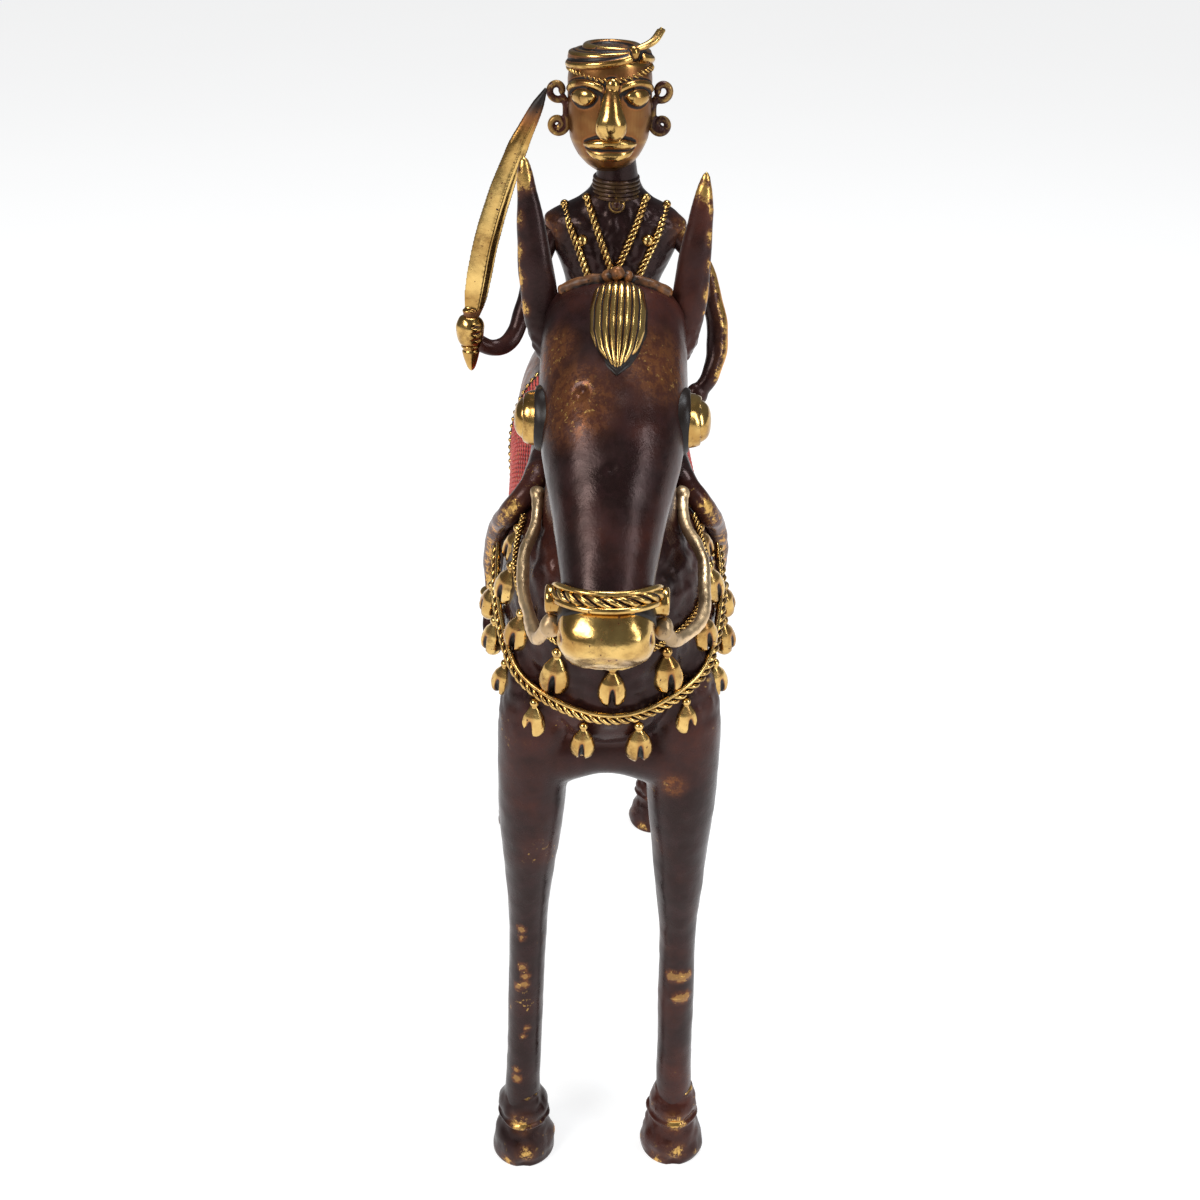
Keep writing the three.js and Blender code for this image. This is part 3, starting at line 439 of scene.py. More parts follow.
def outermost(tree, start, direction, far=120.0):
    """The outermost point of a skin along a ray from inside it, in millimetres."""
    direction = unit(direction)
    outside = Vector(to_scene(start + direction * far))
    hit = tree.ray_cast(outside, Vector(-direction))[0]
    if hit is None:
        raise RuntimeError("a ray missed the skin it should rest on")
    return (np.array(hit) - SHIFT) / MM


# Geometry node groups
def new_group(name):
    group = bpy.data.node_groups.new(name, "GeometryNodeTree")
    group.interface.new_socket("Geometry", in_out="INPUT", socket_type="NodeSocketGeometry")
    group.interface.new_socket("Geometry", in_out="OUTPUT", socket_type="NodeSocketGeometry")
    return group


def group_input(group, name, kind, value):
    socket = group.interface.new_socket(name, in_out="INPUT", socket_type=kind)
    if value is not None:
        socket.default_value = value


def add_nodes(group, **kinds):
    return {name: group.nodes.new(kind) for name, kind in kinds.items()}


def add_links(group, nodes, links):
    """Links as (node, output, node, input)."""
    for start, output, stop, entry in links:
        group.links.new(nodes[start].outputs[output], nodes[stop].inputs[entry])


def read_attribute(node, name, kind):
    node.data_type = kind
    node.inputs["Name"].default_value = name


def twisted_group():
    """Strands that wind round each other along the edges of a mesh."""
    group = new_group("Twisted strands")
    group_input(group, "Strands", "NodeSocketInt", 2)
    group_input(group, "Strand radius", "NodeSocketFloat", 0.0006)
    group_input(group, "Turns", "NodeSocketFloat", 10.0)
    group_input(group, "Steps", "NodeSocketInt", 200)
    group_input(group, "Material", "NodeSocketMaterial", None)
    nodes = add_nodes(
        group,
        source="NodeGroupInput", result="NodeGroupOutput", curve="GeometryNodeMeshToCurve",
        steps="GeometryNodeResampleCurve", share="GeometryNodeSplineParameter",
        angle="ShaderNodeMath", full="ShaderNodeMath", tilt="GeometryNodeSetCurveTilt",
        ring="GeometryNodeCurvePrimitiveCircle", strand="GeometryNodeCurvePrimitiveCircle",
        place="GeometryNodeInstanceOnPoints", profile="GeometryNodeRealizeInstances",
        tube="GeometryNodeCurveToMesh", realize="GeometryNodeRealizeInstances",
        paint="GeometryNodeSetMaterial", width="GeometryNodeInputNamedAttribute",
        taper="GeometryNodeSetCurveRadius",
    )
    nodes["angle"].operation = "MULTIPLY"
    nodes["full"].operation = "MULTIPLY"
    nodes["full"].inputs[1].default_value = 2 * math.pi
    nodes["strand"].inputs["Resolution"].default_value = 8
    nodes["tube"].inputs["Fill Caps"].default_value = True
    read_attribute(nodes["width"], "width", "FLOAT")
    links = [
        ("source", "Geometry", "curve", "Mesh"), ("curve", "Curve", "taper", "Curve"),
        ("width", "Attribute", "taper", "Radius"), ("taper", "Curve", "steps", "Curve"),
        ("source", "Steps", "steps", "Count"), ("source", "Turns", "full", 0),
        ("full", 0, "angle", 0), ("share", "Factor", "angle", 1),
        ("steps", "Curve", "tilt", "Curve"), ("angle", 0, "tilt", "Tilt"),
        ("source", "Strands", "ring", "Resolution"),
        ("source", "Strand radius", "ring", "Radius"),
        ("source", "Strand radius", "strand", "Radius"), ("ring", "Curve", "place", "Points"),
        ("strand", "Curve", "place", "Instance"), ("place", "Instances", "profile", "Geometry"),
        ("tilt", "Curve", "tube", "Curve"), ("profile", "Geometry", "tube", "Profile Curve"),
        ("tube", "Mesh", "realize", "Geometry"), ("realize", "Geometry", "paint", "Geometry"),
        ("source", "Material", "paint", "Material"), ("paint", "Geometry", "result", "Geometry"),
    ]
    if "Scale" in nodes["tube"].inputs:
        links.append(("width", "Attribute", "tube", "Scale"))
    add_links(group, nodes, links)
    return group


def scatter_group():
    """Copies of one form on points that carry a turn and a size."""
    group = new_group("Forms on points")
    group_input(group, "Form", "NodeSocketObject", None)
    group_input(group, "Material", "NodeSocketMaterial", None)
    nodes = add_nodes(
        group,
        source="NodeGroupInput", result="NodeGroupOutput", form="GeometryNodeObjectInfo",
        turn="GeometryNodeInputNamedAttribute", size="GeometryNodeInputNamedAttribute",
        aim="FunctionNodeEulerToRotation", place="GeometryNodeInstanceOnPoints",
        realize="GeometryNodeRealizeInstances", paint="GeometryNodeSetMaterial",
    )
    nodes["form"].transform_space = "ORIGINAL"
    read_attribute(nodes["turn"], "turn", "FLOAT_VECTOR")
    read_attribute(nodes["size"], "size", "FLOAT_VECTOR")
    links = (
        ("source", "Geometry", "place", "Points"), ("source", "Form", "form", "Object"),
        ("form", "Geometry", "place", "Instance"), ("turn", "Attribute", "aim", "Euler"),
        ("aim", "Rotation", "place", "Rotation"), ("size", "Attribute", "place", "Scale"),
        ("place", "Instances", "realize", "Geometry"),
        ("realize", "Geometry", "paint", "Geometry"), ("source", "Material", "paint", "Material"),
        ("paint", "Geometry", "result", "Geometry"),
    )
    add_links(group, nodes, links)
    return group


def node_group(name, maker):
    return bpy.data.node_groups.get(name) or maker()


def run_group(obj, group, values):
    """Run a node group on an object with inputs set by socket identifier, and keep the mesh."""
    modifier = obj.modifiers.new(group.name, "NODES")
    modifier.node_group = group
    for item in group.interface.items_tree:
        if item.item_type == "SOCKET" and item.in_out == "INPUT" and item.name in values:
            modifier[item.identifier] = values[item.name]
    settle(obj)


STEPS_A_TURN = 14


def twisted(name, path, diameter, lay, finish, closed=False, strands=2, widths=None):
    """A twisted rope along a path: lay is the length of one full turn of a strand."""
    path = np.asarray(path, float)
    count = len(path)
    edges = [(i, i + 1) for i in range(count - 1)]
    if closed:
        edges.append((count - 1, 0))
    mesh = bpy.data.meshes.new(name)
    mesh.from_pydata(to_scene(path).tolist(), edges, [])
    set_attribute(mesh, "width", np.ones(count) if widths is None else widths)
    obj = add_object(name, mesh)
    length = np.linalg.norm(np.diff(path, axis=0), axis=1).sum()
    turns = max(round(length / lay * strands) / strands, 1)
    values = {
        "Strands": max(strands, 3),
        "Strand radius": diameter / 4 * MM,
        "Turns": float(turns),
        "Steps": int(turns * STEPS_A_TURN),
        "Material": material(finish),
    }
    run_group(obj, node_group("Twisted strands", twisted_group), values)
    fine = spline(path, count * 6)
    tree = KDTree(len(fine))
    for i, place in enumerate(to_scene(fine)):
        tree.insert(Vector(place), i)
    tree.balance()
    away = np.array([tree.find(Vector(c))[2] for c in coordinates(obj.data)])
    relief = np.clip((away / (diameter / 2 * MM) - 0.55) / 0.4, 0, 1)
    set_attribute(obj.data, "relief", relief)
    return obj


def scattered(name, form, places, finish):
    """Copies of a form: places are (point, 3x3 axes as columns, size)."""
    mesh = bpy.data.meshes.new(name)
    mesh.from_pydata([to_scene(p).tolist() for p, _, _ in places], [], [])
    turns = []
    sizes = []
    for _, axes, size in places:
        turns.extend(Matrix(np.asarray(axes).tolist()).to_euler())
        sizes.extend((size, size, size))
    turn = mesh.attributes.new("turn", "FLOAT_VECTOR", "POINT")
    turn.data.foreach_set("vector", turns)
    scale = mesh.attributes.new("size", "FLOAT_VECTOR", "POINT")
    scale.data.foreach_set("vector", sizes)
    obj = add_object(name, mesh)
    values = {"Form": form, "Material": material(finish)}
    run_group(obj, node_group("Forms on points", scatter_group), values)
    for attribute in ("turn", "size"):
        if attribute in obj.data.attributes:
            obj.data.attributes.remove(obj.data.attributes[attribute])
    bpy.data.objects.remove(form)
    return obj


def merged(name, objects):
    """Join several finished meshes into one object, keeping their point attributes."""
    bpy.ops.object.select_all(action="DESELECT")
    for obj in objects:
        obj.select_set(True)
    bpy.context.view_layer.objects.active = objects[0]
    bpy.ops.object.join()
    objects[0].name = name
    objects[0].data.name = name
    return objects[0]


# Materials
class Shade:
    """Lays out the nodes of one procedural material, with the colours of the settings."""

    def __init__(self, name):
        self.colours = bpy.context.scene.figurine_colours
        self.material = bpy.data.materials.new(name)
        self.material.use_nodes = True
        self.nodes = self.material.node_tree.nodes
        self.link = self.material.node_tree.links.new
        self.shader = next(n for n in self.nodes if n.type == "BSDF_PRINCIPLED")
        self.place = self.nodes.new("ShaderNodeTexCoord").outputs["Object"]

    def set(self, **values):
        for name, value in values.items():
            self.shader.inputs[name.replace("_", " ")].default_value = value

    def noise(self, scale, detail=3.0, rough=0.55, stretch=None):
        node = self.nodes.new("ShaderNodeTexNoise")
        node.inputs["Scale"].default_value = scale
        node.inputs["Detail"].default_value = detail
        node.inputs["Roughness"].default_value = rough
        place = self.place
        if stretch:
            mapping = self.nodes.new("ShaderNodeMapping")
            mapping.inputs["Scale"].default_value = stretch
            self.link(place, mapping.inputs["Vector"])
            place = mapping.outputs["Vector"]
        self.link(place, node.inputs["Vector"])
        return node.outputs["Fac"]

    def attribute(self, name):
        node = self.nodes.new("ShaderNodeAttribute")
        node.attribute_name = name
        return node.outputs["Fac"]

    def ramp(self, value, low, high, start=0.0, stop=1.0):
        node = self.nodes.new("ShaderNodeMapRange")
        node.interpolation_type = "SMOOTHSTEP"
        self.link(value, node.inputs["Value"])
        node.inputs["From Min"].default_value = low
        node.inputs["From Max"].default_value = high
        node.inputs["To Min"].default_value = start
        node.inputs["To Max"].default_value = stop
        return node.outputs["Result"]

    def math(self, operation, one, two):
        """A sum, product or the like, kept between 0 and 1."""
        node = self.nodes.new("ShaderNodeMath")
        node.operation = operation
        node.use_clamp = True
        for socket, value in zip(node.inputs, (one, two)):
            if isinstance(value, float):
                socket.default_value = value
            else:
                self.link(value, socket)
        return node.outputs["Value"]

    def mix(self, share, one, two):
        node = self.nodes.new("ShaderNodeMix")
        node.data_type = "RGBA"
        self.link(share, node.inputs["Factor"])
        for socket, value in zip((node.inputs[6], node.inputs[7]), (one, two)):
            if isinstance(value, bpy.types.NodeSocket):
                self.link(value, socket)
            else:
                socket.default_value = (*value, 1.0)
        return node.outputs[2]

    def bump(self, layers):
        """Layers of (height, strength, depth in millimetres)."""
        normal = None
        for height, strength, depth in layers:
            node = self.nodes.new("ShaderNodeBump")
            node.inputs["Strength"].default_value = strength
            node.inputs["Distance"].default_value = depth * MM
            self.link(height, node.inputs["Height"])
            if normal:
                self.link(normal, node.inputs["Normal"])
            normal = node.outputs["Normal"]
        self.link(normal, self.shader.inputs["Normal"])

    def finish(self, colour, rough, metal=None):
        self.link(colour, self.shader.inputs["Base Color"])
        self.link(rough, self.shader.inputs["Roughness"])
        if metal:
            self.link(metal, self.shader.inputs["Metallic"])
        return self.material


# Colours between the main ones of the settings
MOTTLE = (0.028, 0.0115, 0.0120)
RUBBED = (0.105, 0.032, 0.014)
SCUFFED = (0.26, 0.100, 0.036)
RECESS = (0.010, 0.0055, 0.0040)
COPPER = (0.30, 0.118, 0.038)
STAIN = (0.105, 0.040, 0.014)
SATIN_STAIN = (0.17, 0.064, 0.023)
REIN_DIRT = (0.055, 0.030, 0.018)
# Painted shade for the grooves between the saddle cloth's ribs
PAINTED_RIB_SHADE = (0.090, 0.014, 0.014)
DARK_CLAY = (0.10, 0.055, 0.032)
PALE_CLAY = (0.26, 0.15, 0.09)
PAPER = (0.36, 0.36, 0.36)
PALE_PAPER = (0.40, 0.40, 0.40)
LACQUER_SHEEN = (1.0, 0.70, 0.66, 1.0)
WHITE = (1.0, 1.0, 1.0, 1.0)


def dark_brass(name, zone_low, flecks, edge, polish):
    """Near-black brown lacquer over brass: red-brown zones, scuffed patches and gold flecks."""
    shade = Shade(name)
    relief = shade.attribute("relief")
    wear = shade.attribute("wear")
    zone = shade.ramp(shade.noise(30.0, 5.0, 0.6), zone_low, zone_low + 0.24)
    mottle = shade.ramp(shade.noise(230.0, 6.0, 0.7), 0.42, 0.66)
    colour = shade.mix(zone, shade.colours.lacquer, shade.colours.warm_lacquer)
    colour = shade.mix(shade.math("MULTIPLY", mottle, 0.5), colour, MOTTLE)
    scuff = shade.ramp(shade.noise(520.0, 10.0, 0.8), 0.47, 0.58)
    scratch = shade.ramp(shade.noise(420.0, 6.0, 0.7, (1.0, 1.0, 0.16)), 0.52, 0.64)
    grain = shade.math("MAXIMUM", scuff, shade.math("MULTIPLY", scratch, 0.8))
    rub = shade.math("MULTIPLY", shade.ramp(wear, 0.05, 0.8), grain)
    colour = shade.mix(shade.math("MULTIPLY", wear, 0.6), colour, RUBBED)
    colour = shade.mix(shade.math("MULTIPLY", rub, 0.6), colour, SCUFFED)
    spot = shade.ramp(shade.noise(900.0, 5.0, 0.7), 0.60, 0.65)
    patch = shade.ramp(shade.noise(60.0, 4.0), flecks, flecks + 0.10)
    spots = shade.math("MULTIPLY", spot, shade.math("MAXIMUM", patch, shade.ramp(wear, 0.35, 0.8)))
    broken = shade.ramp(shade.noise(260.0, 6.0, 0.7), 0.40, 0.56)
    rim = shade.math("MULTIPLY", shade.ramp(relief, edge, edge + 0.14), broken)
    worn = shade.math("ADD", shade.math("MULTIPLY", wear, 0.75), shade.math("MULTIPLY", grain, 0.25))
    rim = shade.math("MAXIMUM", rim, shade.ramp(worn, polish, polish + 0.22))
    gold = shade.math("MAXIMUM", spots, rim)
    colour = shade.mix(gold, colour, shade.colours.fleck)
    metal = shade.math("MAXIMUM", gold, shade.math("MULTIPLY", rub, 0.6))
    rough = shade.ramp(shade.noise(95.0, 5.0, 0.65), 0.3, 0.7, 0.20, 0.38)
    coarse = shade.noise(240.0, 6.0, 0.65)
    fine = shade.noise(1500.0, 2.0)
    shade.bump(((coarse, 0.20, 0.7), (fine, 0.06, 0.2)))
    shade.set(Specular_IOR_Level=0.3, Specular_Tint=LACQUER_SHEEN)
    return shade.finish(colour, rough, metal)


def bright_brass(name, low, high, tarnish, satin=0.0):
    """Polished brass with patina left in the recesses, browner where it lies level if satin."""
    shade = Shade(name)
    relief = shade.attribute("relief")
    patch = shade.ramp(shade.noise(85.0, 5.0, 0.6), 0.32, 0.70)
    colour = shade.mix(patch, shade.colours.deep_gold, shade.colours.gold)
    dull = shade.ramp(shade.noise(240.0, 6.0, 0.7), 0.46, 0.72)
    if satin:
        level = shade.ramp(relief, 0.50, 0.63, satin, 0.0)
        dull = shade.math("MAXIMUM", dull, level)
    stain = SATIN_STAIN if satin else STAIN
    colour = shade.mix(shade.math("MULTIPLY", dull, tarnish), colour, stain)
    proud = shade.ramp(relief, low, high)
    pits = shade.ramp(shade.noise(900.0, 3.0), 0.27, 0.36)
    shown = shade.math("MULTIPLY", proud, pits)
    colour = shade.mix(shade.ramp(shown, 0.40, 0.85), COPPER, colour)
    colour = shade.mix(shade.ramp(shown, 0.0, 0.5), RECESS, colour)
    metal = shade.ramp(shown, 0.15, 0.6, 0.0, 1.0)
    sheen = shade.ramp(shown, 0.2, 0.8, 0.36, 0.16)
    shade.set(Specular_IOR_Level=0.3)
    rough = shade.math("ADD", sheen, shade.ramp(dull, 0.0, 1.0, 0.02, 0.20))
    coarse = shade.noise(420.0, 5.0, 0.65)
    fine = shade.noise(1900.0, 2.0)
    shade.bump(((coarse, 0.12, 0.4), (fine, 0.06, 0.15)))
    return shade.finish(colour, rough, metal)


def grey_brass(name):
    """Dull tarnished brass of the reins, in paler and darker patches with dirt."""
    shade = Shade(name)
    patch = shade.ramp(shade.noise(70.0, 5.0, 0.6), 0.35, 0.68)
    colour = shade.mix(patch, shade.colours.dull_rein, shade.colours.pale_rein)
    dirt = shade.ramp(shade.noise(420.0, 5.0, 0.7), 0.56, 0.74)
    colour = shade.mix(dirt, colour, REIN_DIRT)
    rough = shade.ramp(shade.noise(160.0, 4.0), 0.3, 0.7, 0.34, 0.52)
    metal = shade.ramp(dirt, 0.0, 1.0, 0.95, 0.3)
    shade.bump(((shade.noise(380.0, 4.0, 0.6), 0.25, 0.4),))
    return shade.finish(colour, rough, metal)


def red_paint(name):
    """Brick-red paint on ribbed brass, with painted shade between the ribs; the paint is thin on the
    ribs' tops.
    """
    shade = Shade(name)
    relief = shade.attribute("relief")
    tone = shade.ramp(shade.noise(110.0, 5.0, 0.6), 0.30, 0.72)
    colour = shade.mix(tone, shade.colours.deep_red, shade.colours.light_red)
    # Painted shade: the red darkens between the ribs, where the relief is low
    colour = shade.mix(shade.ramp(relief, 0.20, 0.55), PAINTED_RIB_SHADE, colour)
    broken = shade.ramp(shade.noise(520.0, 4.0), 0.58, 0.66)
    chips = shade.math("MULTIPLY", shade.ramp(relief, 0.62, 0.86), broken)
    colour = shade.mix(chips, colour, shade.colours.deep_gold)
    rough = shade.ramp(shade.noise(300.0, 4.0), 0.3, 0.7, 0.46, 0.66)
    shade.bump(((shade.noise(700.0, 4.0, 0.6), 0.25, 0.3),))
    return shade.finish(colour, rough, chips)


def baked_clay(name):
    """Rough fired core clay, hidden inside the trunk."""
    shade = Shade(name)
    colour = shade.mix(shade.noise(90.0, 6.0, 0.65), DARK_CLAY, PALE_CLAY)
    rough = shade.ramp(shade.noise(200.0, 3.0), 0.3, 0.7, 0.85, 0.98)
    shade.bump(((shade.noise(350.0, 6.0, 0.7), 0.6, 0.8),))
    return shade.finish(colour, rough)


def studio_floor(name):
    """Matte white paper sweep."""
    shade = Shade(name)
    colour = shade.mix(shade.noise(3.0, 2.0), PAPER, PALE_PAPER)
    rough = shade.ramp(shade.noise(40.0, 2.0), 0.3, 0.7, 0.85, 0.95)
    shade.set(Emission_Color=WHITE, Emission_Strength=0.80)
    return shade.finish(colour, rough)


# Each finish: its maker and what the maker is told
FINISHES = {
    "Dark patina": (dark_brass, 0.43, 0.60, 0.80, 0.92),
    "Rough dark": (dark_brass, 0.52, 0.70, 0.70, 0.92),
    "Rubbed dark": (dark_brass, 0.44, 0.62, 0.80, 0.46),
    "Hoof patina": (dark_brass, 0.36, 0.54, 0.74, 0.52),
    "Worn ornament": (dark_brass, 0.40, 0.52, 0.52, 0.50),
    "Polished brass": (bright_brass, 0.36, 0.58, 0.55),
    "Satin face": (bright_brass, 0.40, 0.56, 0.95, 1.0),
    "Rope brass": (bright_brass, 0.28, 0.66, 0.70),
    "Eye brass": (bright_brass, 0.40, 0.62, 0.90),
    "Turban brass": (bright_brass, 0.46, 0.66, 0.80),
    "Crest brass": (bright_brass, 0.40, 0.95, 0.90),
    "Blade brass": (bright_brass, 0.0, 0.30, 0.75),
    "Dull brass": (grey_brass,),
    "Red paint": (red_paint,),
    "Baked clay": (baked_clay,),
    "Studio paper": (studio_floor,),
}


def material(finish):
    """The material of a finish, made when it is first asked for."""
    found = bpy.data.materials.get(finish)
    if found:
        return found
    maker, *values = FINISHES[finish]
    return maker(finish, *values)


# Horse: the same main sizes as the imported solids
TRUNK_FRONT = -14.0
TRUNK_LENGTH = 178.0
TRUNK_WIDTH = 51.0
TRUNK_HEIGHT = 61.0
BACK = 195.0
TRUNK_Z = BACK - TRUNK_HEIGHT / 2
BELLY = BACK - TRUNK_HEIGHT
TRUNK_REAR = TRUNK_FRONT + TRUNK_LENGTH
REAR_LEG_Y = TRUNK_REAR - 13.0
STANCE_SHIFT = -1.1
FRONT_STANCE = 41.2
REAR_STANCE = 48.6
FETLOCK_TOP = 22.0
RIDER_Y = 60.0
PEG_HOLE = 8.6
PEG_FOOT = at(0.0, RIDER_Y, BACK - 12.3)
PEG_DRILL = 30.0
PEG_SOCKET = 24.7
VENT_Y = TRUNK_FRONT + TRUNK_LENGTH / 2
VENT_DIAMETER = 9.0
POLL = at(0.0, 5.6, 235.3)
BAND_END = 67.5
TRUNK_SQUARENESS = 2.3
HEAD_SQUARENESS = 2.2
# Share of the length, of the half width and of the half height
TRUNK_ROWS = (
    (0.0, 0.20, 0.45), (0.02, 0.52, 0.74), (0.06, 0.80, 0.92), (0.12, 0.95, 1.0),
    (0.20, 1.0, 1.0), (0.34, 0.92, 0.96), (0.55, 0.92, 0.95), (0.78, 0.96, 0.97),
    (0.90, 0.90, 0.92), (0.97, 0.66, 0.68), (1.0, 0.28, 0.30),
)
# Bright flecks down the right foreleg: across, height and reach
LEG_FLECKS = (
    (0.4, 81.0, 1.8), (0.4, 78.3, 1.3), (0.5, 68.5, 1.8), (1.1, 65.6, 1.6), (0.9, 62.8, 1.7),
    (-1.1, 61.6, 1.9), (1.6, 47.5, 1.3), (0.3, 44.6, 1.2), (-2.0, 32.6, 1.6), (-1.7, 29.6, 2.0),
)
LEG_RUB = 2.6
KNEE_RIDGES = (64.6, 57.6)
# Each pair of legs: end, width of stance, place along the horse and bend of the hock
LEGS = (
    ("front", FRONT_STANCE, 0.0, 0.6),
    ("rear", REAR_STANCE, REAR_LEG_Y, 3.5),
)


def trunk_stations():
    stations = []
    for share, wide, deep in TRUNK_ROWS:
        middle = at(0.0, TRUNK_FRONT + share * TRUNK_LENGTH, TRUNK_Z)
        stations.append((middle, wide * TRUNK_WIDTH / 2, deep * TRUNK_HEIGHT / 2))
    return stations


TRUNK_YS = spline([s[0] for s in trunk_stations()], 121)[:, 1]
TRUNK_SIZES = spline([(s[1], s[2], 0.0) for s in trunk_stations()], 121)


def trunk_point(y, angle, lift):
    """A point above the trunk's skin: angle 0 is the left flank, a right angle the back."""
    wide = np.interp(y, TRUNK_YS, TRUNK_SIZES[:, 0]) + lift
    deep = np.interp(y, TRUNK_YS, TRUNK_SIZES[:, 1]) + lift
    u, v = rounded_square(angle, TRUNK_SQUARENESS)
    return at(u * wide, y, TRUNK_Z + v * deep)


def leg_stations(sign, stance, y, hock):
    foot_x = STANCE_SHIFT + sign * stance / 2
    top_x = sign * (TRUNK_WIDTH / 2 - 7.7)
    foot = FETLOCK_TOP + 0.3
    thick = 8.8
    thin = 4.6
    rows = (
        (-0.05, 0.0, thin, 1.08, 1.10),
        (0.06, 0.1, thin, 1.03, 1.08),
        (0.22, 0.5, thin, 1.03, 1.08),
        (0.5, 1.0, thin, 1.07, 1.23),
        (0.66, 0.4, thick, 0.70, 0.80),
        (0.86, -0.8, thick, 0.95, 1.0),
        (1.04, -1.4, thick, 1.0, 1.02),
        (1.2, -1.0, thick, 0.72, 0.7),
        (1.34, 0.6, thick, 0.3, 0.3),
    )
    stations = []
    for share, bend, size, wide, deep in rows:
        x = foot_x + (top_x - foot_x) * share
        middle = at(x, y + bend * hock, foot + (BELLY - foot) * share)
        stations.append((middle, size * wide, size * deep))
    return stations


def neck_stations():
    foot = TRUNK_Z + TRUNK_HEIGHT * 0.12
    rise = POLL[2] - foot
    wide = 13.5
    deep = 16.0
    return [
        (at(0, 10.0, foot), wide * 1.5, deep * 1.35),
        (at(0, 10.0, foot + rise * 0.33), wide * 1.12, deep * 1.1),
        (at(0, 9.0, foot + rise * 0.66), wide, deep * 0.97),
        (at(0, POLL[1] + 2, POLL[2]), wide * 0.9, deep * 0.75),
    ]


HEAD_TURN = math.radians(-3.0)
HEAD_TILT = math.radians(44.0)
ACROSS = at(math.cos(HEAD_TURN), math.sin(HEAD_TURN), 0.0)
ALONG = at(
    math.cos(HEAD_TILT) * math.sin(HEAD_TURN),
    -math.cos(HEAD_TILT) * math.cos(HEAD_TURN),
    -math.sin(HEAD_TILT),
)
UP = -np.cross(ACROSS, ALONG)


def on_head(x, up, along):
    return POLL + ACROSS * x + UP * up + ALONG * along


def head_rows():
    brow, nose, brow_deep, nose_deep = 15.5, 9.3, 13.5, 8.5

    def width(share):
        return nose + share * (brow - nose)

    def depth(share):
        return nose_deep + share * (brow_deep - nose_deep)

    return [
        (-9.5, brow * 0.25, brow_deep * 0.3),
        (-7.1, brow * 0.72, brow_deep * 0.6),
        (0.0, brow * 0.98, brow_deep * 0.96),
        (15.2, brow, brow_deep),
        (28.1, width(0.9), depth(0.93)),
        (45.6, width(0.36), depth(0.45)),
        (58.5, width(0.02), depth(0.12)),
        (69.9, nose, nose_deep * 0.94),
    ]


def head_size(along):
    """Half width and half depth of the horse's head at a place along it."""
    rows = head_rows()
    return blend(along, rows, 1), blend(along, rows, 2)


def band_ring(along, lift, count=96):
    """A closed path for the noseband, which sits lower on the nose than on the cheeks."""
    path = []
    for angle in full_turn(count):
        over = max(math.sin(angle), 0.0)
        place = along - 4.6 * (1 - over ** 1.5)
        wide, deep = head_size(place)
        u, v = rounded_square(angle, HEAD_SQUARENESS)
        path.append(on_head(u * (wide + lift), v * (deep + lift), place))
    return np.array(path)


def loop_tube(path, radius, sides=10):
    """A closed tube along a closed path."""
    count = len(path)
    middle = path.mean(axis=0)
    verts = []
    for i in range(count):
        tangent = unit(path[(i + 1) % count] - path[i - 1])
        out = path[i] - middle
        out = unit(out - tangent * np.dot(out, tangent))
        side = np.cross(tangent, out)
        for angle in full_turn(sides):
            verts.append(path[i] + (out * math.cos(angle) + side * math.sin(angle)) * radius)
    faces = []
    for i in range(count):
        for s in range(sides):
            n = (s + 1) % sides
            j = (i + 1) % count
            faces.append((i * sides + s, i * sides + n, j * sides + n, j * sides + s))
    return np.array(verts), faces


def horse_tree():
    return skin_tree(bpy.data.objects["horse_skin"])


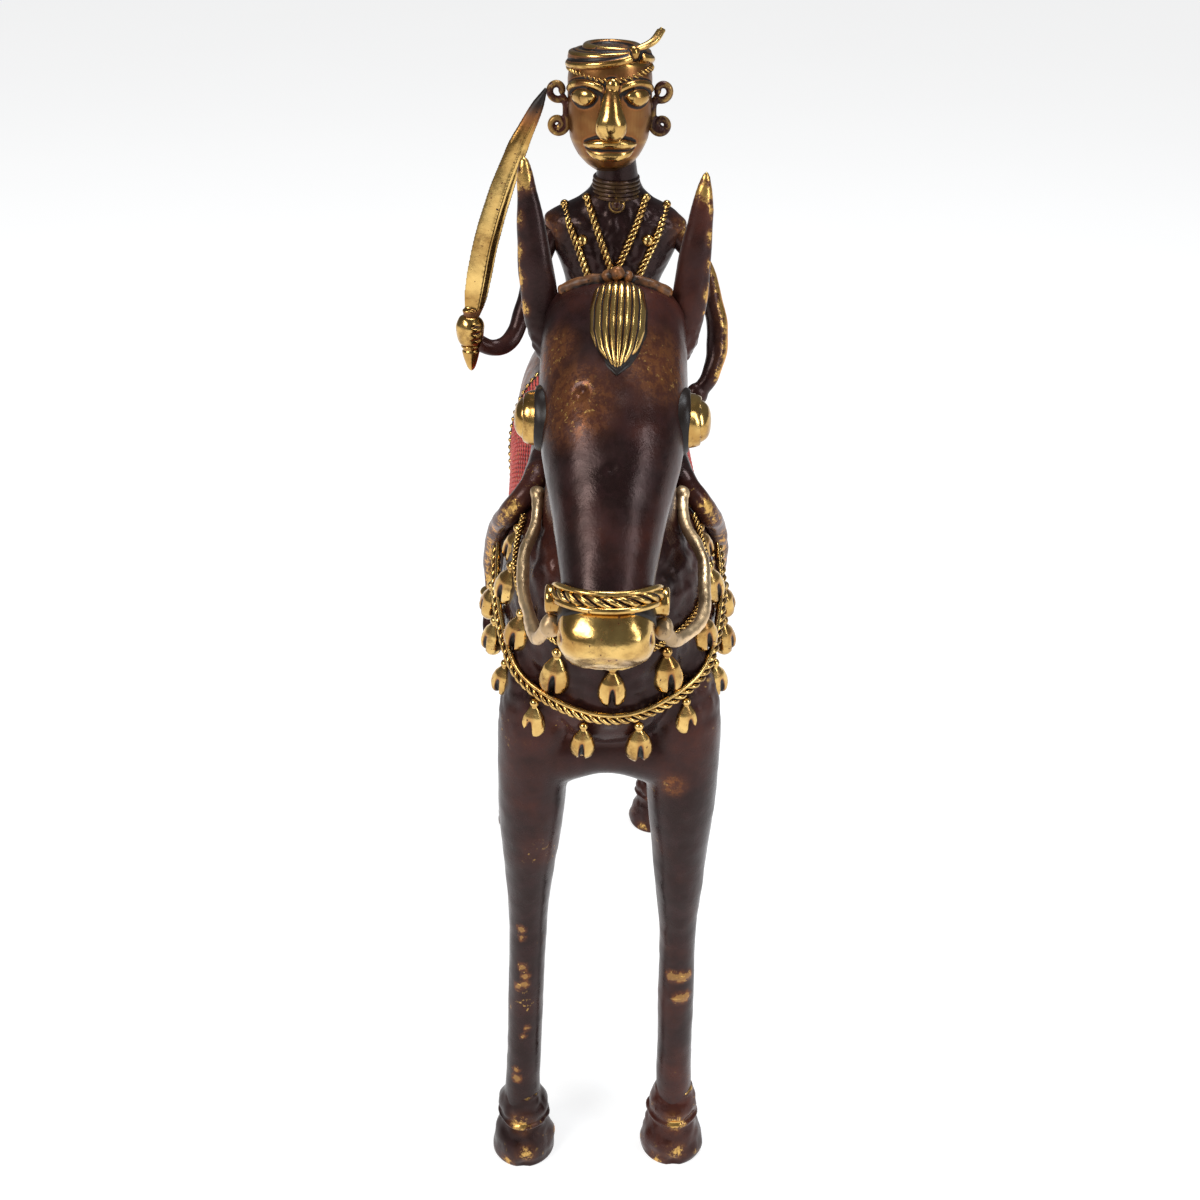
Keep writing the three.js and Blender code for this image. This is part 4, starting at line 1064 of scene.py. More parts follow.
class FIGURINE_OT_horse_skin(bpy.types.Operator):
    """Trunk, neck, head and legs melted into one cast skin"""

    bl_idname = "figurine.horse_skin"
    bl_label = "Horse skin"
    bl_options = {"REGISTER", "UNDO"}

    def execute(self, context):
        horse = context.scene.figurine_horse
        unevenness = horse.unevenness / MM
        stations = [(on_head(0, 0, a), w, d) for a, w, d in head_rows()[:-1]]
        stations.append((on_head(0, 0, BAND_END - 2), *head_size(BAND_END - 2)))
        parts = [
            loft(trunk_stations(), sides=64, per_span=8, power=TRUNK_SQUARENESS),
            loft(neck_stations(), sides=48, per_span=10),
            loft(stations, ACROSS, 56, 8, power=HEAD_SQUARENESS),
        ]
        for _, stance, y, hock in LEGS:
            for _, sign in SIDES:
                parts.append(loft(leg_stations(sign, stance, y, hock), sides=32, per_span=8))
        web = ((-17, 132, 10), (0, 135, 7.6), (17, 132, 10))
        parts.append(loft([(at(x, 0.0, z), deep, 9.0) for x, z, deep in web], AXIS_Z, 32, 8))
        skin = fused_object("horse_skin", parts, horse.voxel / MM, horse.soften)
        roughen(skin, 24.0, unevenness, 1)
        roughen(skin, 4.5, unevenness * 0.22, 2)
        points = shape_points(skin)
        chest = np.clip((points[:, 2] - 140) / 8, 0, 1) * np.clip((192 - points[:, 2]) / 6, 0, 1)
        chest = chest * np.clip((26 - points[:, 1]) / 10, 0, 1)
        roughen(skin, 2.4, 0.6, 3, chest)
        self.dents(skin)
        drill(skin, PEG_FOOT, PEG_FOOT + AXIS_Z * PEG_DRILL, PEG_HOLE)
        drill(skin, at(0, VENT_Y, BELLY - 9), at(0, VENT_Y, BELLY + 9), VENT_DIAMETER)
        self.rub(skin)
        nodes = ["trunk", "neck", "horse_head"]
        nodes += [f"leg_{end}_{name}" for end, *_ in LEGS for name, _ in SIDES]
        finish_piece(skin, "Dark patina", "horse", nodes, (10, 0.5))
        return {"FINISHED"}

    def dents(self, skin):
        press(skin, on_head(-6.4, 13.2, 22.0), 1.9, 1.5)
        press(skin, on_head(0.2, 11.6, 38.0), 1.4, 0.6)
        press(skin, on_head(1.5, 13.0, 26.0), 4.0, -0.35, (1, 1, 2.5))
        for z in KNEE_RIDGES:
            press(skin, at(STANCE_SHIFT + FRONT_STANCE / 2, -4.4, z), 5.4, -0.45, (1.0, 1.0, 0.32))

    def rub(self, skin):
        right = STANCE_SHIFT - FRONT_STANCE / 2
        left = STANCE_SHIFT + FRONT_STANCE / 2
        places = [
            (on_head(-8.0, 12.0, 24.0), 12.0),
            (on_head(9.5, 11.0, 15.0), 11.0),
            (on_head(-11.5, 8.0, 12.0), 8.0),
            *((at(right + x, -4.6, z), reach) for x, z, reach in LEG_FLECKS),
            *((at(left + x, -4.6, KNEE_RIDGES[0]), 2.6) for x in (-2.5, 0.0, 2.5)),
            *((at(left + x, -4.6, KNEE_RIDGES[1]), 2.6) for x in (0.0, 2.0)),
            (at(15.0, -9.0, 128.0), 4.5),
            (at(22.0, 130.0, 178.0), 20.0),
            (at(-22.0, 125.0, 176.0), 22.0),
            (at(0.0, 150.0, 192.0), 20.0),
        ]
        mark_wear(skin, places)
        wear = get_attribute(skin.data, "wear")
        on_legs = shape_points(skin)[:, 2] < 100
        set_attribute(skin.data, "wear", np.where(on_legs, wear * LEG_RUB, wear))


class FIGURINE_OT_hooves(bpy.types.Operator):
    """Four hand-made hooves with fetlock rings"""

    bl_idname = "figurine.hooves"
    bl_label = "Hooves"
    bl_options = {"REGISTER", "UNDO"}

    def execute(self, context):
        rows = (
            (0.05, 0.0), (7.8, 0.0), (8.4, 0.6), (8.5, 2.0), (8.2, 5.5), (7.3, 8.6),
            (6.4, 10.9), (6.2, 12.0), (6.9, 12.9), (7.1, 13.7), (6.5, 14.7), (6.7, 15.8),
            (6.6, 17.2), (5.9, 19.2), (5.1, 21.2), (4.7, 22.6), (0.05, 22.8),
        )
        for index, (end, stance, y, _) in enumerate(LEGS):
            for name, sign in SIDES:
                middle = at(STANCE_SHIFT + sign * stance / 2, y, 0.0)
                node = f"hoof_{end}_{name}"
                hoof = solid_object(f"{node}_cast", turned(rows, middle, sides=56))
                free = np.clip((shape_points(hoof)[:, 2] - 0.6) / 2.0, 0, 1)
                seed = 5 + index * 2 + sign
                roughen(hoof, 6.5, 0.9, seed, free)
                roughen(hoof, 2.2, 0.35, seed + 9, free)
                press(hoof, middle + at(0, -8.2, 1.6), 2.4, 0.8)
                places = [
                    (middle + at(sign * 0.5, -6.8, 14.6), 5.5),
                    (middle + at(0.6, -7.2, 5.0), 4.4),
                    (middle + at(-4.0, -6.6, 1.6), 3.6),
                    (middle + at(3.0, 6.5, 13.0), 4.0),
                ]
                on_floor(hoof)
                mark_wear(hoof, places)
                finish_piece(hoof, "Hoof patina", "horse", [node], (5, 0.35))
        return {"FINISHED"}


class FIGURINE_OT_muzzle(bpy.types.Operator):
    """Polished muzzle, rope noseband and its bosses"""

    bl_idname = "figurine.muzzle"
    bl_label = "Muzzle and noseband"
    bl_options = {"REGISTER", "UNDO"}

    def execute(self, context):
        nose, deep = 9.5, 8.0
        rows = (
            (62.5, 0.95, 0.97), (66.6, 1.0, 1.0), (69.2, 1.01, 0.98), (71.2, 0.96, 0.92),
            (72.9, 0.84, 0.80), (74.1, 0.62, 0.58), (74.7, 0.22, 0.2),
        )
        stations = [(on_head(0, 0, a), nose * w, deep * d) for a, w, d in rows]
        muzzle = fused_object("muzzle_cast", [loft(stations, ACROSS, 64, 8, power=2.35)], 0.32, 5)
        for sign in (-1, 1):
            press(muzzle, on_head(sign * 9.0, 2.6, 69.8), 1.9, 0.7)
        for x in np.linspace(1.5, 8.0, 11):
            along = np.interp(x, (1.5, 5.0, 8.0), (74.4, 74.1, 72.2))
            press(muzzle, on_head(x, -3.0 - 0.5 * math.sin(x * 5), along), 0.7, 0.5)
        roughen(muzzle, 5.0, 0.28, 21)
        under = np.clip((-2.0 - (shape_points(muzzle) - on_head(0, 0, 70)) @ UP) / 2, 0, 1)
        roughen(muzzle, 0.9, 0.22, 22, under)
        finish_piece(muzzle, "Polished brass", "horse", ["muzzle"], (10, 0.34))
        self.noseband()
        return {"FINISHED"}

    def noseband(self):
        wide = head_size(64.0)[0]
        stations = []
        for along, proud in ((61.8, -0.6), (63.2, 0.4), (66.2, 0.5)):
            stations.append((on_head(0, 0, along), *(size + proud for size in head_size(along))))
        backing = loft(stations, ACROSS, 64, 4)
        rows = (
            (0.05, -3.0), (2.6, -2.8), (2.9, 0.2), (3.0, 0.9), (2.8, 1.5), (2.3, 1.7),
            (1.9, 1.2), (1.0, 0.9), (0.05, 0.9),
        )
        discs = []
        for _, sign in SIDES:
            middle = on_head(sign * (wide + 1.2), 0.4, 61.2)
            discs.append(turned(rows, middle, ACROSS * sign, sides=32))
        rims = [loop_tube(band_ring(along, 1.1), 0.72) for along in (63.2, 66.4)]
        under = solid_object("noseband_backing", backing)
        flat_relief(under, 0.05)
        edges = solid_object("noseband_rims", joined(rims))
        flat_relief(edges, 0.8)
        bosses = solid_object("noseband_discs", joined(discs))
        mark_relief(bosses, 5, 0.4)
        rope = twisted("noseband_rope", band_ring(64.8, 1.0), 2.7, 8.4, "Rope brass", True)
        band = merged("noseband_cast", [under, edges, bosses, rope])
        finish_piece(band, "Rope brass", "horse", ["noseband"])


class FIGURINE_OT_horse_face(bpy.types.Operator):
    """Ears, ringed eyes, ribbed forelock, crown strap and mane"""

    bl_idname = "figurine.horse_face"
    bl_label = "Horse's face"
    bl_options = {"REGISTER", "UNDO"}

    def execute(self, context):
        self.ears()
        self.eyes()
        self.forelock(context.scene.figurine_horse.forelock_ribs)
        self.strap()
        self.mane()
        return {"FINISHED"}

    def ears(self):
        half_width, half_depth = 3.8, 2.7
        rows = (
            (-0.22, 0.62, 1.3), (-0.08, 0.82, 1.25), (0.08, 0.98, 1.12), (0.25, 1.02, 1.0),
            (0.5, 0.92, 0.86), (0.78, 0.62, 0.62), (0.92, 0.38, 0.42), (0.985, 0.2, 0.22),
            (1.0, 0.06, 0.06),
        )
        for name, sign, length, lean in (("right", -1, 39.0, 5.8), ("left", 1, 36.5, 5.0)):
            root = at(sign * 13.0, POLL[1] - 1, POLL[2] - 5)
            stations = []
            for share, wide, thick in rows:
                bow = math.copysign(abs(share) ** 0.6, share)
                middle = root + at(sign * lean * bow, 2 * share, length * share)
                stations.append((middle, wide * half_width, thick * half_depth))
            ear = fused_object(f"ear_{name}_cast", [loft(stations, sides=36, per_span=8)], 0.4, 3)
            roughen(ear, 7.0, 0.35, 31 + sign)
            foot = np.clip((root[2] + 9 - shape_points(ear)[:, 2]) / 8, 0, 1)
            roughen(ear, 1.3, 0.35, 33 + sign, foot)
            tip = root + at(sign * lean, 2.0, length)
            places = [(tip + at(0, -1, 0), 5.0), (tip + at(0, -1, -4), 4.0)]
            for share in np.linspace(0.22, 0.92, 36):
                bow = lean * share ** 0.6
                edge = bow + half_width * blend(share, rows, 1)
                place = root + at(sign * edge, 2 * share - 1.4, length * share)
                places.append((place, 1.5 + 0.8 * math.sin(share * 40 + sign)))
            mark_wear(ear, places)
            finish_piece(ear, "Rubbed dark", "horse", [f"ear_{name}"], (8, 0.3))

    def eyes(self):
        rows = (
            (0.05, -3.0), (7.0, -3.0), (7.0, -0.6), (6.8, 0.5), (6.3, 1.3), (5.9, 0.7),
            (5.6, 1.6), (5.3, 2.8), (4.8, 3.6), (4.4, 2.9), (4.1, 3.9), (3.2, 5.0), (1.8, 5.6),
            (0.05, 5.8),
        )
        for name, sign in SIDES:
            middle = on_head(sign * 14.5, 0.0, 22.0)
            eye = solid_object(f"eye_{name}_cast", turned(rows, middle, ACROSS * sign, sides=48))
            roughen(eye, 5.0, 0.4, 41 + sign)
            mark_relief(eye, 3, 0.2)
            points = shape_points(eye) - middle
            around = np.linalg.norm(points - np.outer(points @ ACROSS, ACROSS), axis=1)
            level = get_attribute(eye.data, "relief") * np.interp(around, (5.6, 6.6), (1.2, 0.5))
            set_attribute(eye.data, "relief", level)
            finish_piece(eye, "Eye brass", "horse", [f"eye_{name}"])

    def forelock(self, ribs):
        tree = horse_tree()
        top, length, shift = -3.0, 21.8, 0.8
        rows, columns = 64, 97
        outline = (
            (0.0, 0.66), (0.1, 0.86), (0.3, 1.0), (0.55, 0.98), (0.75, 0.78), (0.9, 0.42),
            (1.0, 0.03),
        )
        verts = []
        relief = []
        for v in np.linspace(0, 1, rows):
            seat = outermost(tree, on_head(shift, 0, top + v * length), UP)
            wide = 7.0 * blend(v, outline, 1)
            lower = (max(v - 0.50, 0) / 0.44) ** 2
            upper = (max(0.12 - v, 0) / 0.14) ** 2
            for u in np.linspace(-1, 1, columns):
                lock = max(1 - ((abs(u) / 0.86) ** 2.4 + lower + upper), 0) ** 0.5
                groove = abs(math.sin(math.pi * (u / 0.86 * ribs / 2 + 0.25 * math.sin(2.2 * v))))
                lift = 0.7 * (1 - abs(u) ** 6) + lock * (2.2 - 0.75 * (1 - groove) ** 2)
                drop = 0.55 * (u * wide) ** 2 / 13.5
                verts.append(seat + ACROSS * u * wide + UP * (lift - drop - 0.4))
                relief.append((0.12 + 0.8 * groove) * min(lock * 3, 1) if lock else 0.1)
        base = len(verts)
        verts += [v - UP * 2.4 for v in verts]
        sheet = np.array(verts), sheet_faces(rows, columns, base)
        forelock = solid_object("forelock_cast", sheet)
        set_attribute(forelock.data, "relief", relief + [0.1] * base)
        finish_piece(forelock, "Polished brass", "horse", ["forelock"])

    def strap(self):
        tree = horse_tree()
        arc = []
        for x in np.linspace(-11.0, 11.0, 15):
            start = on_head(x, -2.0, -4.5 + 0.012 * x * x)
            arc.append(outermost(tree, start, UP) + UP * 0.5)
        parts = [rod(arc, 2.3, side=ALONG, sides=16)]
        parts.append(rod([p + ALONG * 1.9 - UP * 0.2 for p in arc[2:-2]], 1.2, side=ALONG))
        seat = outermost(tree, on_head(0.4, 0, -4.2), UP)
        for x, up, size in ((-1.9, 1.5, 2.7), (0.0, 3.0, 2.9), (1.9, 1.5, 2.7)):
            parts.append(ball(seat + ACROSS * x + UP * up, size))
        plate = []
        for x in (-3.4, -1.5, 0, 1.5, 3.4):
            plate.append(seat + ACROSS * x + ALONG * (2.6 + 0.05 * x * x) + UP * 0.9)
        parts.append(rod(plate, 1.9, side=ALONG))
        for x in (-1.0, 1.0):
            stem = [seat + ACROSS * x + UP * 1.2, seat + ACROSS * x * 0.8 + UP * 3.2]
            parts.append(rod(stem, 1.5, side=ALONG))
        strap = fused_object("crown_strap_cast", parts, 0.26, 2)
        roughen(strap, 1.8, 0.25, 51)
        finish_piece(strap, "Crest brass", "horse", ["crown_strap"], (8, 0.35))

    def mane(self):
        tree = horse_tree()
        stations = []
        count = 15
        for i in range(count):
            share = i / (count - 1)
            height = POLL[2] + 4 - share * 38.3
            seat = outermost(tree, at(0, 10.0, height), AXIS_Y)
            swell = np.interp(share, (0, 0.3, 0.65, 1), (0.6, 1, 1, 0.7))
            stations.append((seat, 2.2 * swell, 4.0 * swell * (1.0 if i % 2 else 0.8)))
        ridge = [loft(stations, sides=24, per_span=6)]
        for middle, _, deep in stations[1:-1]:
            tuft = []
            for x in (-2.6, -1.3, 0, 1.3, 2.6):
                tuft.append(middle + at(x, deep * 0.8 - abs(x) * 0.5, 1.2 - abs(x) * 0.6))
            ridge.append(rod(tuft, 1.5))
        mane = fused_object("mane_cast", ridge, 0.4, 2)
        mark_wear(mane, [(s[0] + at(0, 4, 0), 4.5) for s in stations])
        finish_piece(mane, "Rough dark", "horse", ["mane"], (8, 0.4))


def sheet_faces(rows, columns, base):
    """Faces of a closed sheet whose under side repeats its upper points from base on."""
    faces = []
    for r in range(rows - 1):
        for c in range(columns - 1):
            a = r * columns + c
            faces.append((a, a + 1, a + columns + 1, a + columns))
            faces.append((base + a, base + a + columns, base + a + columns + 1, base + a + 1))
    edge = list(range(columns))
    edge += [r * columns + columns - 1 for r in range(1, rows)]
    edge += [(rows - 1) * columns + c for c in range(columns - 2, -1, -1)]
    edge += [r * columns for r in range(rows - 2, 0, -1)]
    for a, b in zip(edge, edge[1:] + edge[:1]):
        faces.append((a, base + a, base + b, b))
    return faces


# Trappings
COLLAR_TILT = math.radians(36.0)
ROPE_HEIGHT = 174.5
ROPE_DIAMETER = 2.5
ROPE_REACH = 94
ROPE_DROPS = 10
STRING_HEIGHT = 191.0
STRING_DIAMETER = 1.6
STRING_REACH = 71
STRING_DROPS = 9
STRING_DROP_SIZE = 1.12
STRING_LAY = 0.55
SEAT_LIFT = 0.5
DROP_PITCH = 17.0
REIN_RADIUS = 1.35
REIN_END_Y = 12.0


def collar_ray(angle):
    ahead = at(0, -math.cos(COLLAR_TILT), -math.sin(COLLAR_TILT))
    return ahead * math.cos(angle) + AXIS_X * math.sin(angle)


def collar_path(tree, height, reach, lift, count=61):
    """A smooth path across the chest between two angles in degrees."""
    path = []
    for angle in np.radians(np.linspace(-reach, reach, count)):
        ray = collar_ray(angle)
        path.append(outermost(tree, at(0, 20.0, height), ray, 70.0) + ray * lift)
    path = np.array(path)
    for _ in range(14):
        path[1:-1] = (path[:-2] + 2 * path[1:-1] + path[2:]) / 4
    return path


def cowrie_form(name):
    """A cowrie drop along -Y under a bead, its slit towards +Z and open at the lower end."""
    width, length, thick = 6.3, 9.2, 4.8
    rings, sides = 30, 36
    outline = (
        (0.0, 0.16), (0.12, 0.42), (0.3, 0.76), (0.5, 0.95), (0.66, 1.0), (0.82, 0.9),
        (0.93, 0.66), (1.0, 0.34),
    )
    verts = []
    relief = []
    for v in np.linspace(0.0, 1.0, rings):
        swell = blend(v, outline, 1)
        opening = float(np.interp(v, (0.36, 0.6), (0, 1)))
        for angle in full_turn(sides):
            x = width / 2 * swell * math.cos(angle)
            y = -v * length
            z = thick / 2 * swell * math.sin(angle)
            slit = math.exp(-(x / (0.26 + 0.3 * v)) ** 2) * opening
            if z > 0:
                z -= slit * z * 0.95
                y += slit * 0.9 * float(np.interp(v, (0.8, 1.0), (0, 1)))
            verts.append((x, y, z))
            across = abs(math.cos(angle))
            lips = math.exp(-((abs(x) - 1.0) / 0.4) ** 2) * opening
            proud = 0.50 + 0.26 * across ** 2 + 0.16 * lips if z > -0.3 else 0.45
            relief.append(max(proud - slit, 0.0))
    shell = np.array(verts), capped_faces(rings, sides)
    bead = ball(at(0, 0.9, 0.2), 2.2, 2.1, 2.1, 14, 9)
    stem = rod([at(0, 0.6, 0), at(0, -0.8, 0)], 1.4, AXIS_X, 10, 3)
    part = joined([shell, bead, stem])
    form = form_object(name, part)
    relief += [0.7] * (len(part[0]) - len(relief))
    set_attribute(form.data, "relief", relief)
    return form


def inward(path):
    """For each point of a collar, the direction along the skin to the inside of its curve."""
    tangents = np.gradient(path, axis=0)
    middle = path.mean(axis=0) + at(0, 12.0, 0)
    directions = []
    for place, tangent in zip(path, tangents):
        out = unit(place - middle)
        directions.append(unit(np.cross(out, unit(tangent))))
    directions = np.array(directions)
    return -directions if directions[len(directions) // 2][2] < 0 else directions


def drops(name, path, reach, count, size):
    """Cowries that hang outwards and down from a collar's path."""
    inner = inward(path)
    steps = range(len(path))
    places = []
    for i in range(count):
        degrees = (i - (count - 1) / 2) * DROP_PITCH
        step = (degrees + reach) / (2 * reach) * (len(path) - 1)
        hang = along_path(step, steps, path)
        within = along_path(step, steps, inner)
        down = unit(-within * 0.55 + at(0, -0.1, -1.0) * 0.45)
        ray = collar_ray(math.radians(degrees))
        out = unit(ray - down * np.dot(ray, down))
        side = np.cross(-down, out)
        wobble = size * (1.0 + 0.05 * math.sin(i * 2.7))
        axes = np.stack((side, -down, out), axis=1)
        places.append((hang + down * 3.4 + out * 0.4, axes, wobble))
    return scattered(f"{name}_drops", cowrie_form(f"{name}_form"), places, "Rope brass")


class FIGURINE_OT_trappings(bpy.types.Operator):
    """Breast rope, upper string, their cowrie drops and the two reins"""

    bl_idname = "figurine.trappings"
    bl_label = "Rope, string and reins"
    bl_options = {"REGISTER", "UNDO"}

    def execute(self, context):
        tree = horse_tree()
        lay = context.scene.figurine_horse.rope_lay / MM
        lift = SEAT_LIFT + ROPE_DIAMETER / 2
        path = collar_path(tree, ROPE_HEIGHT, ROPE_REACH, lift + 0.3)
        rope = twisted("rope_lay", path, ROPE_DIAMETER, lay, "Rope brass")
        wire = solid_object("rope_wire", rod(path + inward(path) * 1.75, 1.1, per_span=2))
        flat_relief(wire, 0.75)
        hung = drops("breast_rope", path, ROPE_REACH, ROPE_DROPS, 1.0)
        breast = merged("breast_rope_cast", [rope, wire, hung])
        finish_piece(breast, "Rope brass", "horse", ["breast_rope"])
        path = collar_path(tree, STRING_HEIGHT, STRING_REACH, SEAT_LIFT + STRING_DIAMETER / 2)
        cord = twisted("string_lay", path, STRING_DIAMETER, lay * STRING_LAY, "Rope brass")
        hung = drops("breast_string", path, STRING_REACH, STRING_DROPS, STRING_DROP_SIZE)
        string = merged("breast_string_cast", [cord, hung])
        finish_piece(string, "Rope brass", "horse", ["breast_string"])
        for name, sign in SIDES:
            self.rein(tree, name, sign)
        return {"FINISHED"}

    def rein(self, tree, name, sign):
        start = on_head(sign * 11.2, -2.6, 65.5)
        stop = STRING_HEIGHT + 2.6

        def back(share):
            return start[1] + share * (REIN_END_Y - start[1])

        def level(share, dips):
            return start[2] + share * (stop - start[2]) - dips * 7.0

        def beside(y, z):
            out = AXIS_X * sign
            return outermost(tree, at(0, y, z), out, 60.0) + out * (0.3 + REIN_RADIUS)

        points = [
            start,
            at(start[0] + sign * 2.6, back(0.07), level(0, 0.75)),
            at(sign * 17.85, back(0.27), level(0.1, 0.96)),
            at(sign * 19.4, back(0.47), level(0.4, 0.97)),
            at(sign * 19.4, back(0.64), level(0.8, 0.8)),
            beside(back(0.85), level(0.9, 0.47)),
            beside(REIN_END_Y, level(1, 0)),
        ]
        parts = [
            rod(points, REIN_RADIUS * 2, AXIS_X, 20, 10),
            ball(start - AXIS_Z * 0.4, 4.4, 4.0, 5.2),
            ball(points[-1], 3.4, 4.6, 3.2),
        ]
        rein = fused_object(f"rein_{name}_cast", parts, 0.32, 3)
        roughen(rein, 4.5, 0.3, 61 + sign)
        roughen(rein, 1.4, 0.12, 63 + sign)
        finish_piece(rein, "Dull brass", "horse", [f"rein_{name}"])


# Saddle cloth
CLOTH_FRONT = 34.0
CLOTH_REAR = 104.0
CLOTH_HEM = 152.0
CLOTH_LIFT = 1.6
CLOTH_BREADTH = 118.0
COLUMNS_A_RIB = 6
BORDER_INSET = 1.1
DOT_PITCH = 2.1


def hem_angle(y, hem):
    """The angle on the trunk where the skin, lifted to the cloth, reaches the hem's height."""
    angles = np.linspace(-math.pi / 2, math.pi / 2, 181)
    heights = [trunk_point(y, a, CLOTH_LIFT)[2] for a in angles]
    return float(np.interp(hem, heights, angles))


class FIGURINE_OT_saddle(bpy.types.Operator):
    """Ribbed red saddle cloth with a dotted brass border"""

    bl_idname = "figurine.saddle"
    bl_label = "Saddle cloth"
    bl_options = {"REGISTER", "UNDO"}

    def execute(self, context):
        rows = 72
        half = hem_angle((CLOTH_FRONT + CLOTH_REAR) / 2, CLOTH_HEM)
        ribs = int(CLOTH_BREADTH * MM / context.scene.figurine_horse.cloth_rib)
        columns = ribs * COLUMNS_A_RIB + 1
        shares = np.linspace(0, 1, columns)
        upper = []
        lower = []
        for y in np.linspace(CLOTH_FRONT, CLOTH_REAR, rows):
            weave = 0.10 * math.sin(math.pi * y / 1.45)
            for share in shares:
                angle = half + share * (math.pi - 2 * half)
                rib = abs(math.sin(math.pi * ribs * share))
                upper.append(trunk_point(y, angle, CLOTH_LIFT - 0.42 + 0.55 * rib ** 0.7 + weave))
                lower.append(trunk_point(y, angle, 0.35))
        sheet = np.array(upper + lower), sheet_faces(rows, columns, len(upper))
        cloth = solid_object("saddle_cloth_cast", sheet)
        # Relief across the ribs: low in the grooves, which the red paint darkens as painted shade, high
        # on the rib tops
        relief = np.tile(np.sin(math.pi * ribs * shares) ** 2, rows)
        set_attribute(cloth.data, "relief", np.concatenate((relief, np.zeros(len(lower)))))
        drill(cloth, PEG_FOOT, PEG_FOOT + AXIS_Z * PEG_DRILL, PEG_HOLE)
        finish_piece(cloth, "Red paint", "horse", ["saddle_cloth"])
        self.border()
        return {"FINISHED"}

    def border(self):
        front = CLOTH_FRONT - BORDER_INSET
        rear = CLOTH_REAR + BORDER_INSET
        path = []
        half = hem_angle(front, CLOTH_HEM - BORDER_INSET)
        end = hem_angle(rear, CLOTH_HEM - BORDER_INSET)
        for share in np.linspace(0, 1, 60):
            path.append((front, half + share * (math.pi - 2 * half)))
        for share in np.linspace(0, 1, 40)[1:]:
            path.append((front + share * (rear - front), math.pi - half - share * (end - half)))
        for share in np.linspace(0, 1, 60)[1:]:
            path.append((rear, math.pi - end - share * (math.pi - 2 * end)))
        for share in np.linspace(0, 1, 40)[1:-1]:
            path.append((rear - share * (rear - front), end + share * (half - end)))
        strip = np.array([trunk_point(y, a, 0.9) for y, a in path])
        base = solid_object("border_strip", loop_tube(strip, 1.05, 12))
        flat_relief(base, 0.34)
        loop = np.vstack((strip, strip[:1]))
        steps = np.concatenate(([0], np.cumsum(np.linalg.norm(np.diff(loop, axis=0), axis=1))))
        count = int(steps[-1] / DOT_PITCH)
        beads = []
        for where in np.linspace(0, steps[-1], count, endpoint=False):
            middle = along_path(where, steps, loop)
            out = unit(middle - at(0, middle[1], TRUNK_Z))
            beads.append((middle + out * 0.75, np.eye(3), 1.0))
        dot = form_object("border_dot", ball(np.zeros(3), 1.55, sides=8, rings=6))
        flat_relief(dot, 0.85)
        dots = scattered("border_dots", dot, beads, "Rope brass")
        border = merged("cloth_border_cast", [base, dots])
        finish_piece(border, "Rope brass", "horse", ["cloth_border"])


class FIGURINE_OT_tail(bpy.types.Operator):
    """Tail of thick twisted strands"""

    bl_idname = "figurine.tail"
    bl_label = "Tail"
    bl_options = {"REGISTER", "UNDO"}

    def execute(self, context):
        top = BELLY + TRUNK_HEIGHT * 0.74
        points = [
            at(0, 154, top),
            at(0, 167, top - 2),
            at(0, 171, top - 20.5),
            at(0, 170, top - 49),
            at(0, 169, top - 74),
            at(0, 169, top - 82),
        ]
        path = spline(points, 61)
        shares = np.linspace(0, 5, 61)
        widths = np.interp(shares, range(6), (0.8, 0.9, 1.0, 1.05, 0.7, 0.3))
        tail = twisted("tail_cast", path, 9.0, 30.0, "Rubbed dark", strands=3, widths=widths)
        core = [(p, w * 2.6, w * 2.6) for p, w in zip(path[::4], widths[::4])]
        body = solid_object("tail_core", loft(core, sides=20, per_span=3))
        flat_relief(body, 0.3)
        tail = merged("tail_cast", [tail, body])
        fuse(tail, 0.5, 2)
        roughen(tail, 2.4, 0.3, 71)
        mark_wear(tail, [(p + at(0, 4.5, 0), 5.0) for p in path[8::7]])
        finish_piece(tail, "Rubbed dark", "horse", ["tail"], (8, 0.5))
        return {"FINISHED"}


# Rider
SEAT_Z = 197.1
SHOULDER_Z = 246.1
CHIN_Z = 257.1
HEAD_Y = RIDER_Y - 2
FACE_HEIGHT = 26.0
LEAN = 1.9


def lean_at(z):
    return LEAN * min(max((z - SEAT_Z) / (SHOULDER_Z - SEAT_Z), 0.0), 1.0)


def chest(tree, x, z, lift):
    """A point on the front of the torso, seen slightly from above."""
    ray = unit(at(0, -0.972, 0.235))
    return outermost(tree, at(x + lean_at(z), RIDER_Y - 1.0, z), ray, 60.0) + ray * lift


